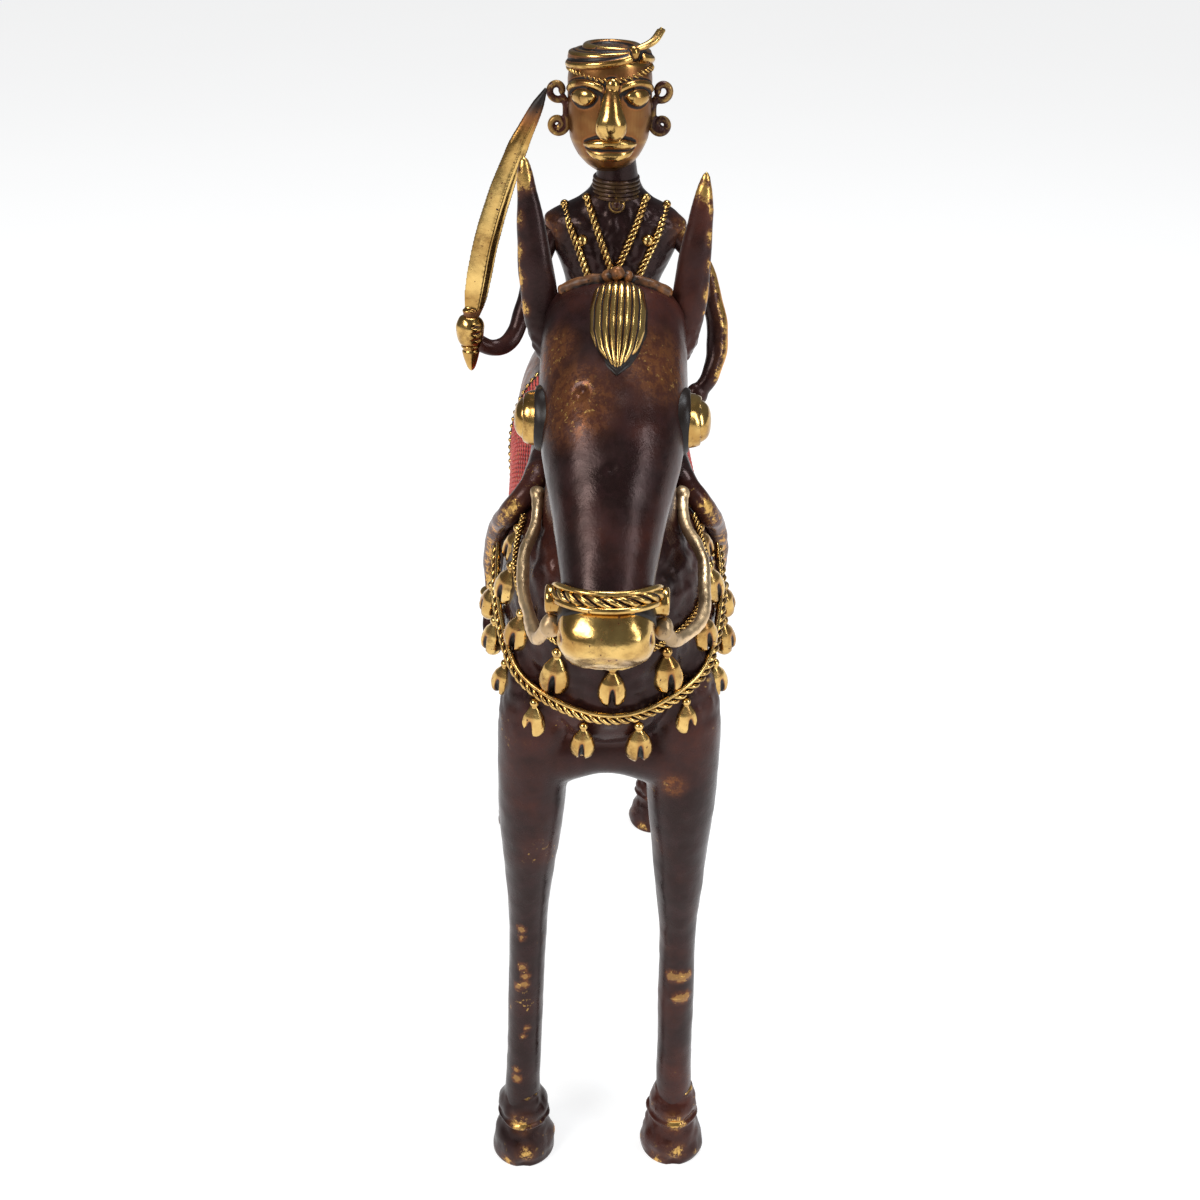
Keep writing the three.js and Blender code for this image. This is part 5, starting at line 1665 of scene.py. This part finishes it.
class FIGURINE_OT_rider_body(bpy.types.Operator):
    """Torso, arms, fist and legs of the rider"""

    bl_idname = "figurine.rider_body"
    bl_label = "Rider's body"
    bl_options = {"REGISTER", "UNDO"}

    def execute(self, context):
        self.torso()
        self.arms()
        self.fist()
        self.legs()
        return {"FINISHED"}

    def torso(self):
        rows = (
            (-0.045, 12.6, 8.4), (0.02, 13.0, 8.6), (0.12, 13.0, 8.6), (0.36, 12.0, 7.5),
            (0.62, 11.2, 7.1), (0.84, 15.2, 7.5), (0.95, 17.2, 6.8), (1.0, 14.6, 5.9),
            (1.05, 9.6, 5.3), (1.10, 6.6, 5.0), (1.17, 5.0, 4.8), (1.25, 4.5, 4.5),
            (1.30, 4.4, 4.4),
        )
        stations = []
        for share, wide, deep in rows:
            z = SEAT_Z + share * (SHOULDER_Z - SEAT_Z)
            y = RIDER_Y - 1.6 * max(share - 1, 0) / 0.3
            stations.append((at(lean_at(z), y, z), wide, deep))
        parts = [loft(stations, sides=56, per_span=8, power=2.2)]
        torso = fused_object("rider_torso_cast", parts, 0.5, 4)
        points = shape_points(torso)
        front = np.clip((RIDER_Y - 2 - points[:, 1]) / 4, 0, 1)
        front = front * np.clip((250 - points[:, 2]) / 3, 0, 1)
        roughen(torso, 1.5, 0.42, 81, front)
        roughen(torso, 9.0, 0.4, 82)
        shoulders = [at(s * 17.0 + LEAN, RIDER_Y - 3, SHOULDER_Z - 4) for s in (-1, 1)]
        mark_wear(torso, [(place, 6.0) for place in shoulders])
        drill(torso, PEG_FOOT, PEG_FOOT + AXIS_Z * PEG_SOCKET, PEG_HOLE)
        finish_piece(torso, "Rough dark", "rider", ["rider_torso"], (8, 0.35))

    def arms(self):
        sword_arm = (
            (-11.0, 60, 242.6, 2.6), (-14.1, 59, 239.6, 2.8), (-18.6, 56, 228.6, 2.3),
            (-22.1, 52, 218.6, 2.1), (-24.6, 50, 216.0, 2.0), (-27.9, 49, 215.5, 1.95),
            (-31.0, 48.2, 217.0, 2.0),
        )
        rein_arm = (
            (14.6, 60, 242.6, 2.6), (17.9, 59, 239.6, 2.8), (22.9, 55, 233.6, 2.4),
            (25.5, 52, 225.6, 2.5), (26.8, 50, 216.6, 2.6), (25.0, 47, 209.1, 2.2),
            (22.8, 46.2, 205.9, 2.1),
        )
        hand = ball(at(22.0, 46.0, 205.1), 5.4, 5.0, 5.6)
        arms = (
            ("sword_arm", sword_arm, [], slice(6, 9), at(-2.2, -0.8, 0), 2.2),
            ("rein_arm", rein_arm, [hand], slice(4, 33), at(2.4, -0.8, 0), 4.0),
        )
        for name, route, hands, rubbed, side, reach in arms:
            parts = [loft([(at(x, y, z), r, r) for x, y, z, r in route], AXIS_Y, 24, 8)]
            arm = fused_object(f"{name}_cast", parts + hands, 0.36, 3)
            roughen(arm, 5.0, 0.35, 83)
            skin = spline([row[:3] for row in route], 40)
            mark_wear(arm, [(p + side, reach) for p in skin[rubbed]])
            finish_piece(arm, "Rubbed dark", "rider", [name], (6, 0.3))

    def fist(self):
        fist_at = at(-32.9, 48.0, 220.1)
        rows = (
            (0.05, 3.7), (1.9, 3.6), (2.7, 2.9), (3.3, 1.6), (3.4, 0.0), (3.2, -1.5),
            (2.7, -2.8), (1.9, -3.4), (0.05, -3.5),
        )
        fist = solid_object("sword_fist_cast", turned(rows, fist_at, sides=48, per_span=6))
        for step in range(3):
            press(fist, fist_at + at(1.6, -2.8, 1.7 - 1.7 * step), 1.0, 0.35, (2.4, 2.0, 0.5))
        roughen(fist, 2.6, 0.25, 84)
        finish_piece(fist, "Polished brass", "rider", ["sword_fist"], (5, 0.25))

    def legs(self):
        rows = (
            (7.8, 59, 202.1, 4.5, 4.3), (13.0, 43.8, 196.3, 4.1, 4.0),
            (18.2, 19.5, 192.0, 2.8, 2.7), (22.7, 18.9, 186.1, 2.7, 2.6),
            (26.3, 28.0, 177.6, 2.4, 2.3), (28.4, 36.0, 167.6, 2.1, 2.1),
            (28.9, 42.0, 158.2, 2.0, 2.0), (28.8, 41.2, 150.6, 1.9, 1.9),
            (29.3, 37.2, 145.6, 2.0, 1.5), (29.7, 33.2, 144.5, 1.5, 1.1),
            (29.8, 32.0, 144.2, 0.6, 0.5),
        )
        rings = (
            (0.05, -1.9), (1.9, -1.8), (2.9, -1.5), (3.2, -0.9), (2.7, -0.15), (2.7, 0.15),
            (3.2, 0.9), (2.9, 1.5), (1.9, 1.8), (0.05, 1.9),
        )
        for name, sign in SIDES:
            stations = [(at(sign * x, y, z), wide, deep) for x, y, z, wide, deep in rows]
            leg = fused_object(f"rider_leg_{name}_cast", [loft(stations, AXIS_X, 28, 8)], 0.36, 3)
            roughen(leg, 5.0, 0.3, 85 + sign)
            front = []
            for x, y, z, _, deep in rows[2:10]:
                front.append(at(sign * (x + 0.3), y - deep * 0.8, z + deep * 0.4))
            mark_wear(leg, [(p, 2.9) for p in spline(front, 60)[6:46]])
            node = f"rider_leg_{name}"
            finish_piece(leg, "Rubbed dark", "rider", [node], (6, 0.3))
            node = f"anklet_{name}"
            part = turned(rings, at(sign * 28.75, 41.4, 152.1), sides=32)
            ring = solid_object(f"{node}_cast", part)
            finish_piece(ring, "Polished brass", "rider", [node], (4, 0.25))


# Share of the face's height, of the half width and of the half depth
HEAD_ROWS = (
    (-0.03, 0.34, 0.40), (0.02, 0.54, 0.64), (0.10, 0.74, 0.82), (0.24, 0.93, 0.95),
    (0.45, 1.0, 1.0), (0.72, 1.0, 1.0), (0.90, 0.92, 0.94), (1.0, 0.5, 0.5),
)
HEAD_HALF = (9.7, 9.0)
FACE_SQUARENESS = 2.2


def face(x, z, lift=0.0):
    """A point on the front of the rider's head."""
    share = (z - CHIN_Z) / FACE_HEIGHT
    wide = HEAD_HALF[0] * blend(share, HEAD_ROWS, 1)
    deep = HEAD_HALF[1] * blend(share, HEAD_ROWS, 2)
    fall = max(1 - abs(x / wide) ** FACE_SQUARENESS, 0.0) ** (1 / FACE_SQUARENESS)
    return at(x, HEAD_Y - deep * fall - lift, z)


def round_head(z, lift, dip=0.0, count=72):
    """A closed path round the rider's head, dipping at the front."""
    wide = HEAD_HALF[0] + lift
    deep = HEAD_HALF[1] + lift
    path = []
    for angle in full_turn(count):
        front = max(-math.sin(angle), 0.0)
        x = wide * math.cos(angle)
        path.append(at(x, HEAD_Y + deep * math.sin(angle), z - dip * front ** 3))
    return np.array(path)


class FIGURINE_OT_rider_head(bpy.types.Operator):
    """Rider's head with a plain folk face, turban, headband and spiral ears"""

    bl_idname = "figurine.rider_head"
    bl_label = "Rider's head"
    bl_options = {"REGISTER", "UNDO"}

    def execute(self, context):
        self.head()
        self.turban(context.scene.figurine_rider.turban_folds)
        self.ears()
        return {"FINISHED"}

    def head(self):
        stations = []
        for share, wide, deep in HEAD_ROWS:
            middle = at(0, HEAD_Y, CHIN_Z + FACE_HEIGHT * share)
            stations.append((middle, HEAD_HALF[0] * wide, HEAD_HALF[1] * deep))
        parts = [loft(stations, sides=64, per_span=10, power=FACE_SQUARENESS)]
        nose = (
            (276.4, 1.2, 0.2, 1.0), (274.2, 1.9, 1.1, 1.9), (271.2, 2.8, 2.1, 2.5),
            (268.4, 3.5, 2.9, 2.8), (267.0, 3.5, 2.8, 2.6), (266.1, 2.7, 1.4, 1.5),
        )
        stations = [(face(0, z, lift), wide, deep) for z, wide, lift, deep in nose]
        parts.append(loft(stations, sides=28))
        for z, half, thick, bow in ((263.7, 6.0, 2.4, -0.7), (260.9, 5.3, 2.9, 0.8)):
            lip = []
            for u in np.linspace(-1, 1, 9):
                fall = max(1 - abs(u) ** 2.4, 0.03)
                place = face(u * half, z + bow * u * u, 0.8 * fall)
                lip.append((place, thick / 2 * fall ** 0.5, 1.3 * fall ** 0.5))
            parts.append(loft(lip, AXIS_Z, 20, 4))
        for sign in (-1, 1):
            eye = []
            for u in np.linspace(-1, 1, 9):
                fall = max(1 - abs(u) ** 2.0, 0.02) ** 0.75
                place = face(sign * 6.2 + u * 2.8, 273.6 - 0.25 * sign * u, 0.35)
                eye.append((place, 1.95 * fall, 1.2 * fall))
            parts.append(loft(eye, AXIS_Z, 24, 4))
        for sign in (-1, 1):
            arch = ((1.3, 275.2), (3.4, 276.2), (6.0, 276.6), (8.6, 275.8), (9.4, 274.6))
            brow = [face(sign * x, z, 0.3) for x, z in arch]
            parts.append(rod(brow, 1.5, AXIS_Z, 16, 4))
        parts.append(ball(face(0.3, 276.5, 1.2), 3.2, 2.6, 3.2))
        head = fused_object("rider_head_cast", parts, 0.28, 2)
        roughen(head, 3.4, 0.12, 91)
        mark_relief(head, 12, 0.30)
        points = shape_points(head)
        level = get_attribute(head.data, "relief")
        near_nose = (abs(points[:, 0]) < 4.2) & (abs(points[:, 2] - 271.0) < 5.4)
        for i in np.flatnonzero(near_nose & (points[:, 1] < HEAD_Y)):
            x, y, z = points[i]
            proud = face(x, z)[1] - y
            level[i] = max(level[i], np.interp(proud, (1.0, 2.0), (0.0, 0.85)))
        set_attribute(head.data, "relief", level)
        finish_piece(head, "Satin face", "rider", ["rider_head"])
        path = round_head(279.0, -0.5, 1.9)
        band = twisted("headband_cast", path, 1.8, 3.8, "Rope brass", True)
        finish_piece(band, "Rope brass", "rider", ["headband"])

    def turban(self, folds):
        low, rise = 278.4, 5.4

        def dome(angle, share, lift):
            round_off = max(1 - share ** 5, 0.02) ** 0.5
            wide = (HEAD_HALF[0] - 0.8) * round_off + lift
            deep = (HEAD_HALF[1] - 0.8) * round_off + lift
            return at(wide * math.sin(angle), HEAD_Y - deep * math.cos(angle), low + rise * share)

        rows = []
        for share in np.linspace(0, 0.96, 9):
            edge = dome(math.pi / 2, share, -0.4)[0]
            middle = at(0, HEAD_Y, low + rise * share)
            rows.append((middle, edge, edge * HEAD_HALF[1] / HEAD_HALF[0]))
        parts = [loft(rows, sides=48, per_span=3)]
        knot_angle = math.radians(40)
        for k in range(folds):
            level = 0.06 + 0.86 * k / (folds - 1)
            path = []
            for turn in np.linspace(0.03, 0.97, 33):
                around = knot_angle - turn * 2 * math.pi
                share = 0.80 + (level - 0.80) * math.sin(math.pi * turn) ** 0.55
                path.append(dome(around, share, 0.1 + 0.25 * math.sin(k * 1.9)))
            thick = 0.75 + 0.3 * math.sin(k * 2.3)
            stations = [(p, thick, thick * 1.1) for p in path]
            parts.append(loft(stations, AXIS_Z, 14, 3))
        knot = dome(knot_angle, 0.8, 0.4)
        parts.append(ball(knot, 3.0, 2.6, 3.2))
        tip = at(11.4, HEAD_Y - 1.5, 287.6)
        for offset in (-0.9, 0.0, 0.9):
            bend = knot + (tip - knot) * 0.55 + at(0.9 + offset * 0.4, 0, -0.5)
            stations = [
                (knot + at(-0.5, offset * 0.3, 0.3), 1.0, 0.8),
                (bend, 0.9, 0.7),
                (tip + at(offset * 0.7, 0, -0.4 * abs(offset)), 0.5, 0.4),
            ]
            parts.append(loft(stations, AXIS_Y, 14, 6))
        turban = fused_object("turban_cast", parts, 0.24, 1)
        finish_piece(turban, "Turban brass", "rider", ["turban"], (10, 0.22))

    def ears(self):
        def curl(middle, sign, start, sweep, radius, growth):
            points = []
            for turn in np.linspace(0, 1, 22):
                angle = math.radians(start + sweep * turn)
                reach = radius + growth * turn
                points.append(middle + at(sign * math.cos(angle) * reach, 0, math.sin(angle) * reach))
            return points

        for name, sign in SIDES:
            loop = at(sign * 12.0, HEAD_Y - 0.6, 273.9)
            scroll = at(sign * 11.9, HEAD_Y - 0.8, 266.4)
            path = [
                *curl(loop, sign, 200, -330, 1.0, 1.2),
                loop + at(-sign * 2.0, 0, -3.4),
                scroll + at(-sign * 1.9, 0, 2.4),
                *curl(scroll, sign, 190, 440, 2.1, -1.4),
            ]
            stud = [at(sign * 8.6, HEAD_Y, 270.6), loop + at(-sign * 2.2, 0, -3.0)]
            parts = [rod(path, 1.7, AXIS_Y, 14, 2), rod(stud, 2.4, AXIS_Y)]
            node = f"rider_ear_{name}"
            ear = fused_object(f"{node}_cast", parts, 0.24, 1)
            finish_piece(ear, "Worn ornament", "rider", [node])


class FIGURINE_OT_rider_ornaments(bpy.types.Operator):
    """Neck rings, crossed cords, pendant and chest studs"""

    bl_idname = "figurine.rider_ornaments"
    bl_label = "Rider's ornaments"
    bl_options = {"REGISTER", "UNDO"}

    def execute(self, context):
        rider = context.scene.figurine_rider
        tree = skin_tree(bpy.data.objects["rider_torso_cast"])
        self.neck(rider.neck_rings)
        self.cords(tree, rider.cord_lay / MM)
        self.studs(tree)
        return {"FINISHED"}

    def neck(self, count):
        rings = []
        for i in range(count):
            z = 250.4 + 0.92 * i
            spread = 5.55 - 0.13 * i
            path = []
            for angle in full_turn(56):
                y = RIDER_Y - 0.9 + spread * math.sin(angle)
                path.append(at(LEAN + spread * math.cos(angle), y, z + 0.35 * math.sin(angle)))
            rings.append(loop_tube(np.array(path), 0.52, 12))
        stack = solid_object("neck_rings_cast", joined(rings))
        finish_piece(stack, "Worn ornament", "rider", ["neck_rings"], (3, 0.9))

    def cords(self, tree, lay):
        cords = (
            ("inner_cord", ((7.0, 249.3), (5.6, 245.0), (3.2, 238.4), (0.9, 232.6))),
            ("outer_cord", ((12.2, 247.8), (10.4, 241.5), (7.2, 233.5), (3.2, 222.0), (1.2, 215.5))),
        )
        for name, marks in cords:
            strands = []
            for side, sign in SIDES:
                path = spline([chest(tree, sign * x, z, 0.6) for x, z in marks], 25)
                strands.append(twisted(f"{name}_{side}", path, 1.9, lay, "Rope brass"))
                bump = solid_object(f"{name}_{side}_bump", ball(path[0], 2.1, 2.1, 2.0))
                flat_relief(bump, 0.8)
                strands.append(bump)
            low = chest(tree, 0.0, marks[-1][1] - 0.8, 0.4)
            knot = solid_object(f"{name}_knot", ball(low, 2.6, 2.2, 2.6))
            flat_relief(knot, 0.8)
            cord = merged(f"{name}_cast", strands + [knot])
            finish_piece(cord, "Rope brass", "rider", [name])

    def studs(self, tree):
        facing = unit(at(0, -0.95, 0.3))
        rows = (
            (0.05, -0.8), (1.9, -0.8), (1.95, 0.2), (1.7, 0.7), (1.3, 0.6), (1.1, 0.9),
            (0.6, 1.35), (0.05, 1.5),
        )
        disc = turned(rows, chest(tree, 0.0, 247.6, 0.1), facing, sides=28)
        pendant = solid_object("pendant_cast", disc)
        finish_piece(pendant, "Worn ornament", "rider", ["pendant"], (4, 0.25))
        rows = ((0.05, -0.8), (1.35, -0.8), (1.4, 0.3), (1.1, 0.9), (0.6, 1.25), (0.05, 1.35))
        for name, sign in SIDES:
            node = f"chest_stud_{name}"
            part = turned(rows, chest(tree, sign * 7.8, 239.2, 0.0), facing, sides=24)
            stud = solid_object(f"{node}_cast", part)
            finish_piece(stud, "Polished brass", "rider", [node], (4, 0.2))


class FIGURINE_OT_sword(bpy.types.Operator):
    """Curved sword with a grip and a pommel"""

    bl_idname = "figurine.sword"
    bl_label = "Sword"
    bl_options = {"REGISTER", "UNDO"}

    def execute(self, context):
        hand = at(-32.9, 48.0, 223.8)
        rows = (
            (0.0, 0.03, 0.62), (0.1, 0.09, 0.95), (0.32, 0.22, 1.0), (0.55, 0.42, 0.92),
            (0.76, 0.66, 0.78), (0.93, 0.90, 0.45), (1.0, 1.0, 0.10),
        )
        blade = []
        for share, lean, wide in rows:
            blade.append((hand + at(18.4 * lean, 0, 52 * share), 3.0 * wide, 0.85))
        spine = [(p + at(0.9, -0.5, 0), w * 0.16, 0.55) for p, w, _ in blade[:-1]]
        handle = (
            (0.05, -13.9), (0.8, -13.2), (1.5, -11.4), (2.0, -9.4), (2.1, -8.6), (1.6, -8.1),
            (2.3, -7.7), (2.3, -7.2), (1.6, -6.8), (1.6, 0.6), (1.8, 1.4), (0.05, 2.0),
        )
        parts = [
            loft(blade, AXIS_X, 28, 10, power=1.7),
            loft(spine, AXIS_X, 12, 8),
            turned(handle, hand, AXIS_Z, 32),
        ]
        sword = fused_object("sword_cast", parts, 0.26, 1)
        roughen(sword, 6.0, 0.15, 95)
        mark_relief(sword, 8, 0.3)
        polish = (
            (-9, 1.0), (-7.4, 1.0), (-6.9, 0.0), (1, 0.2), (4, 1.0), (28, 1.0), (42, 0.4),
            (50, 0.0),
        )
        heights = shape_points(sword)[:, 2] - hand[2]
        level = get_attribute(sword.data, "relief") * blend(heights, polish, 1)
        set_attribute(sword.data, "relief", level)
        finish_piece(sword, "Blade brass", "rider", ["sword"])
        return {"FINISHED"}


class FIGURINE_OT_hidden_pieces(bpy.types.Operator):
    """Finishes of the clay core and the seat peg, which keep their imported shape"""

    bl_idname = "figurine.hidden_pieces"
    bl_label = "Core and peg"
    bl_options = {"REGISTER", "UNDO"}

    def execute(self, context):
        for node, finish in (("clay_core", "Baked clay"), ("seat_peg", "Rough dark")):
            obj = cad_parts[node]
            for slot in obj.material_slots:
                slot.material = material(finish)
        return {"FINISHED"}


# Stage
FOCAL = 45.0
SENSOR = 36.0
LOOK_DOWN = math.radians(28.0)
ROLL = math.radians(0.8)
YAW = math.radians(-1.87)
CAMERA_PLACE = at(-2.5, -300.0, 332.0)
LIT_PLACE = at(0, 20, 150)
FLOOR_REACH = 6000.0
SKY_TINT = (0.93, 0.96, 1.0, 1.0)
SKY_STRENGTH = 0.16
# Each light: name, place, breadth and height, power and tint
LIGHTS = (
    ("Key", (-900.0, -800.0, 1000.0), (600.0, 600.0), 14.0, (1.0, 0.98, 0.95)),
    ("Fill", (950.0, -700.0, 700.0), (300.0, 900.0), 7.0, (0.90, 0.95, 1.0)),
    ("Top", (150.0, 200.0, 1300.0), (600.0, 400.0), 9.0, (0.92, 0.96, 1.0)),
)


def turned_about_z(vector, angle):
    c = math.cos(angle)
    s = math.sin(angle)
    return at(c * vector[0] - s * vector[1], s * vector[0] + c * vector[1], vector[2])


def aim(obj, place, target):
    start = Vector(to_scene(place))
    obj.location = start
    obj.rotation_euler = (Vector(to_scene(target)) - start).to_track_quat("-Z", "Y").to_euler()


class FIGURINE_OT_stage(bpy.types.Operator):
    """Pale floor, soft lights and the camera of the photograph"""

    bl_idname = "figurine.stage"
    bl_label = "Stage"
    bl_options = {"REGISTER", "UNDO"}

    def execute(self, context):
        scene = context.scene
        staged = [self.floor()]
        staged += [self.light(*row) for row in LIGHTS]
        scene.camera = self.camera()
        staged.append(scene.camera)
        world = bpy.data.worlds.new("Studio")
        world.use_nodes = True
        sky = world.node_tree.nodes["Background"]
        sky.inputs["Color"].default_value = SKY_TINT
        sky.inputs["Strength"].default_value = SKY_STRENGTH
        scene.world = world
        scene.view_settings.view_transform = "Standard"
        return {"FINISHED"}

    def floor(self):
        corners = ((-1, -1, 0), (1, -1, 0), (1, 1, 0), (-1, 1, 0))
        floor = mesh_object("studio_floor", (np.array(corners) * FLOOR_REACH, [(0, 1, 2, 3)]))
        floor.data.materials.append(material("Studio paper"))
        return floor

    def light(self, name, place, size, power, tint):
        lamp = bpy.data.lights.new(name, "AREA")
        lamp.shape = "RECTANGLE"
        lamp.size = size[0] * MM
        lamp.size_y = size[1] * MM
        lamp.energy = power
        lamp.color = tint
        obj = add_object(name, lamp)
        aim(obj, at(*place), LIT_PLACE)
        return obj

    def camera(self):
        camera = bpy.data.cameras.new("Photo camera")
        camera.lens = FOCAL
        camera.sensor_width = SENSOR
        camera.clip_start = 0.01
        camera.clip_end = 50.0
        obj = add_object("Photo camera", camera)
        up = at(0, math.sin(LOOK_DOWN), math.cos(LOOK_DOWN))
        rolled = AXIS_X * math.cos(ROLL) + up * math.sin(ROLL)
        raised = up * math.cos(ROLL) - AXIS_X * math.sin(ROLL)
        axes = [turned_about_z(a, YAW) for a in (rolled, raised, np.cross(rolled, raised))]
        place = to_scene(turned_about_z(CAMERA_PLACE, YAW))
        rows = [[*(axis[i] for axis in axes), place[i]] for i in range(3)]
        obj.matrix_world = Matrix(rows + [[0, 0, 0, 1]])
        return obj


# Settings, panel and the build order
def length_setting(name, description, default, low, high):
    """A length, given in millimetres and kept in metres."""
    limits = {"default": default * MM, "min": low * MM, "max": high * MM, "precision": 5}
    kind = {"subtype": "DISTANCE", "unit": "LENGTH"}
    return FloatProperty(name=name, description=description, **limits, **kind)


def count_setting(name, description, default, low, high):
    limits = {"default": default, "min": low, "max": high}
    return IntProperty(name=name, description=description, **limits, subtype="UNSIGNED")


def colour_setting(name, description, default):
    """A colour as linear red, green and blue."""
    limits = {"default": default, "min": 0.0, "max": 1.0, "precision": 4}
    kind = {"size": 3, "subtype": "COLOR"}
    return FloatVectorProperty(name=name, description=description, **limits, **kind)


class FigurineHorse(bpy.types.PropertyGroup):
    """Sizes of the horse's cast surface and ornament"""

    voxel: length_setting("Skin grain", "Smallest form that the horse's skin keeps", 1.0, 0.6, 3.0)
    soften: count_setting("Skin softening", "Rounds of smoothing over the joined forms", 8, 0, 30)
    unevenness: length_setting("Unevenness", "Height of the hand-worked waves", 0.55, 0.0, 1.5)
    forelock_ribs: count_setting("Forelock ribs", "Ribs across the forelock", 8, 3, 14)
    cloth_rib: length_setting("Cloth rib", "Width of one rib of the saddle cloth", 1.5, 0.8, 4.0)
    rope_lay: length_setting("Rope lay", "Length of one turn of the breast rope", 6.2, 3.0, 20.0)


class FigurineRider(bpy.types.PropertyGroup):
    """Sizes of the rider's ornament"""

    turban_folds: count_setting("Turban folds", "Folds wound round the turban", 7, 3, 14)
    neck_rings: count_setting("Neck rings", "Rings stacked round the neck", 5, 1, 8)
    cord_lay: length_setting("Cord lay", "Length of one turn of the chest cords", 4.2, 2.0, 12.0)


class FigurineColours(bpy.types.PropertyGroup):
    """Main colours of the finishes"""

    lacquer: colour_setting("Lacquer", "Ground of the dark brass", (0.0095, 0.0042, 0.0040))
    warm_lacquer: colour_setting("Warm lacquer", "Red-brown zones of dark brass", (0.06, 0.017, 0.0115))
    fleck: colour_setting("Flecks", "Metal that shows through the dark brass", (0.66, 0.40, 0.12))
    gold: colour_setting("Gold", "Bright patches of the polished brass", (0.82, 0.55, 0.19))
    deep_gold: colour_setting("Deep gold", "Deeper patches of the polished brass", (0.44, 0.245, 0.070))
    dull_rein: colour_setting("Dull rein", "Darker patches of the reins", (0.42, 0.29, 0.16))
    pale_rein: colour_setting("Pale rein", "Paler patches of the reins", (0.86, 0.62, 0.36))
    deep_red: colour_setting("Deep red", "Darker patches of the red paint", (0.42, 0.034, 0.030))
    light_red: colour_setting("Light red", "Paler patches of the red paint", (0.62, 0.085, 0.065))


OPERATORS = (
    FIGURINE_OT_horse_skin,
    FIGURINE_OT_hooves,
    FIGURINE_OT_muzzle,
    FIGURINE_OT_horse_face,
    FIGURINE_OT_trappings,
    FIGURINE_OT_saddle,
    FIGURINE_OT_tail,
    FIGURINE_OT_rider_body,
    FIGURINE_OT_rider_head,
    FIGURINE_OT_rider_ornaments,
    FIGURINE_OT_sword,
    FIGURINE_OT_hidden_pieces,
    FIGURINE_OT_stage,
)


class FIGURINE_PT_panel(bpy.types.Panel):
    """Sidebar panel with the figurine's settings and steps"""

    bl_idname = "FIGURINE_PT_panel"
    bl_label = "Horse and rider"
    bl_space_type = "VIEW_3D"
    bl_region_type = "UI"
    bl_category = "Figurine"

    def draw(self, context):
        layout = self.layout
        scene = context.scene
        for group in (scene.figurine_horse, scene.figurine_rider, scene.figurine_colours):
            for name in group.__annotations__:
                layout.prop(group, name)
        for operator in OPERATORS:
            layout.operator(operator.bl_idname)


CLASSES = (FigurineHorse, FigurineRider, FigurineColours, *OPERATORS, FIGURINE_PT_panel)


def register():
    for cls in CLASSES:
        bpy.utils.register_class(cls)
    bpy.types.Scene.figurine_horse = PointerProperty(type=FigurineHorse)
    bpy.types.Scene.figurine_rider = PointerProperty(type=FigurineRider)
    bpy.types.Scene.figurine_colours = PointerProperty(type=FigurineColours)


def unregister():
    del bpy.types.Scene.figurine_colours
    del bpy.types.Scene.figurine_rider
    del bpy.types.Scene.figurine_horse
    for cls in reversed(CLASSES):
        bpy.utils.unregister_class(cls)


def main():
    register()
    for operator in OPERATORS:
        getattr(bpy.ops.figurine, operator.bl_idname.removeprefix("figurine."))()


if __name__ == "__main__":
    main()
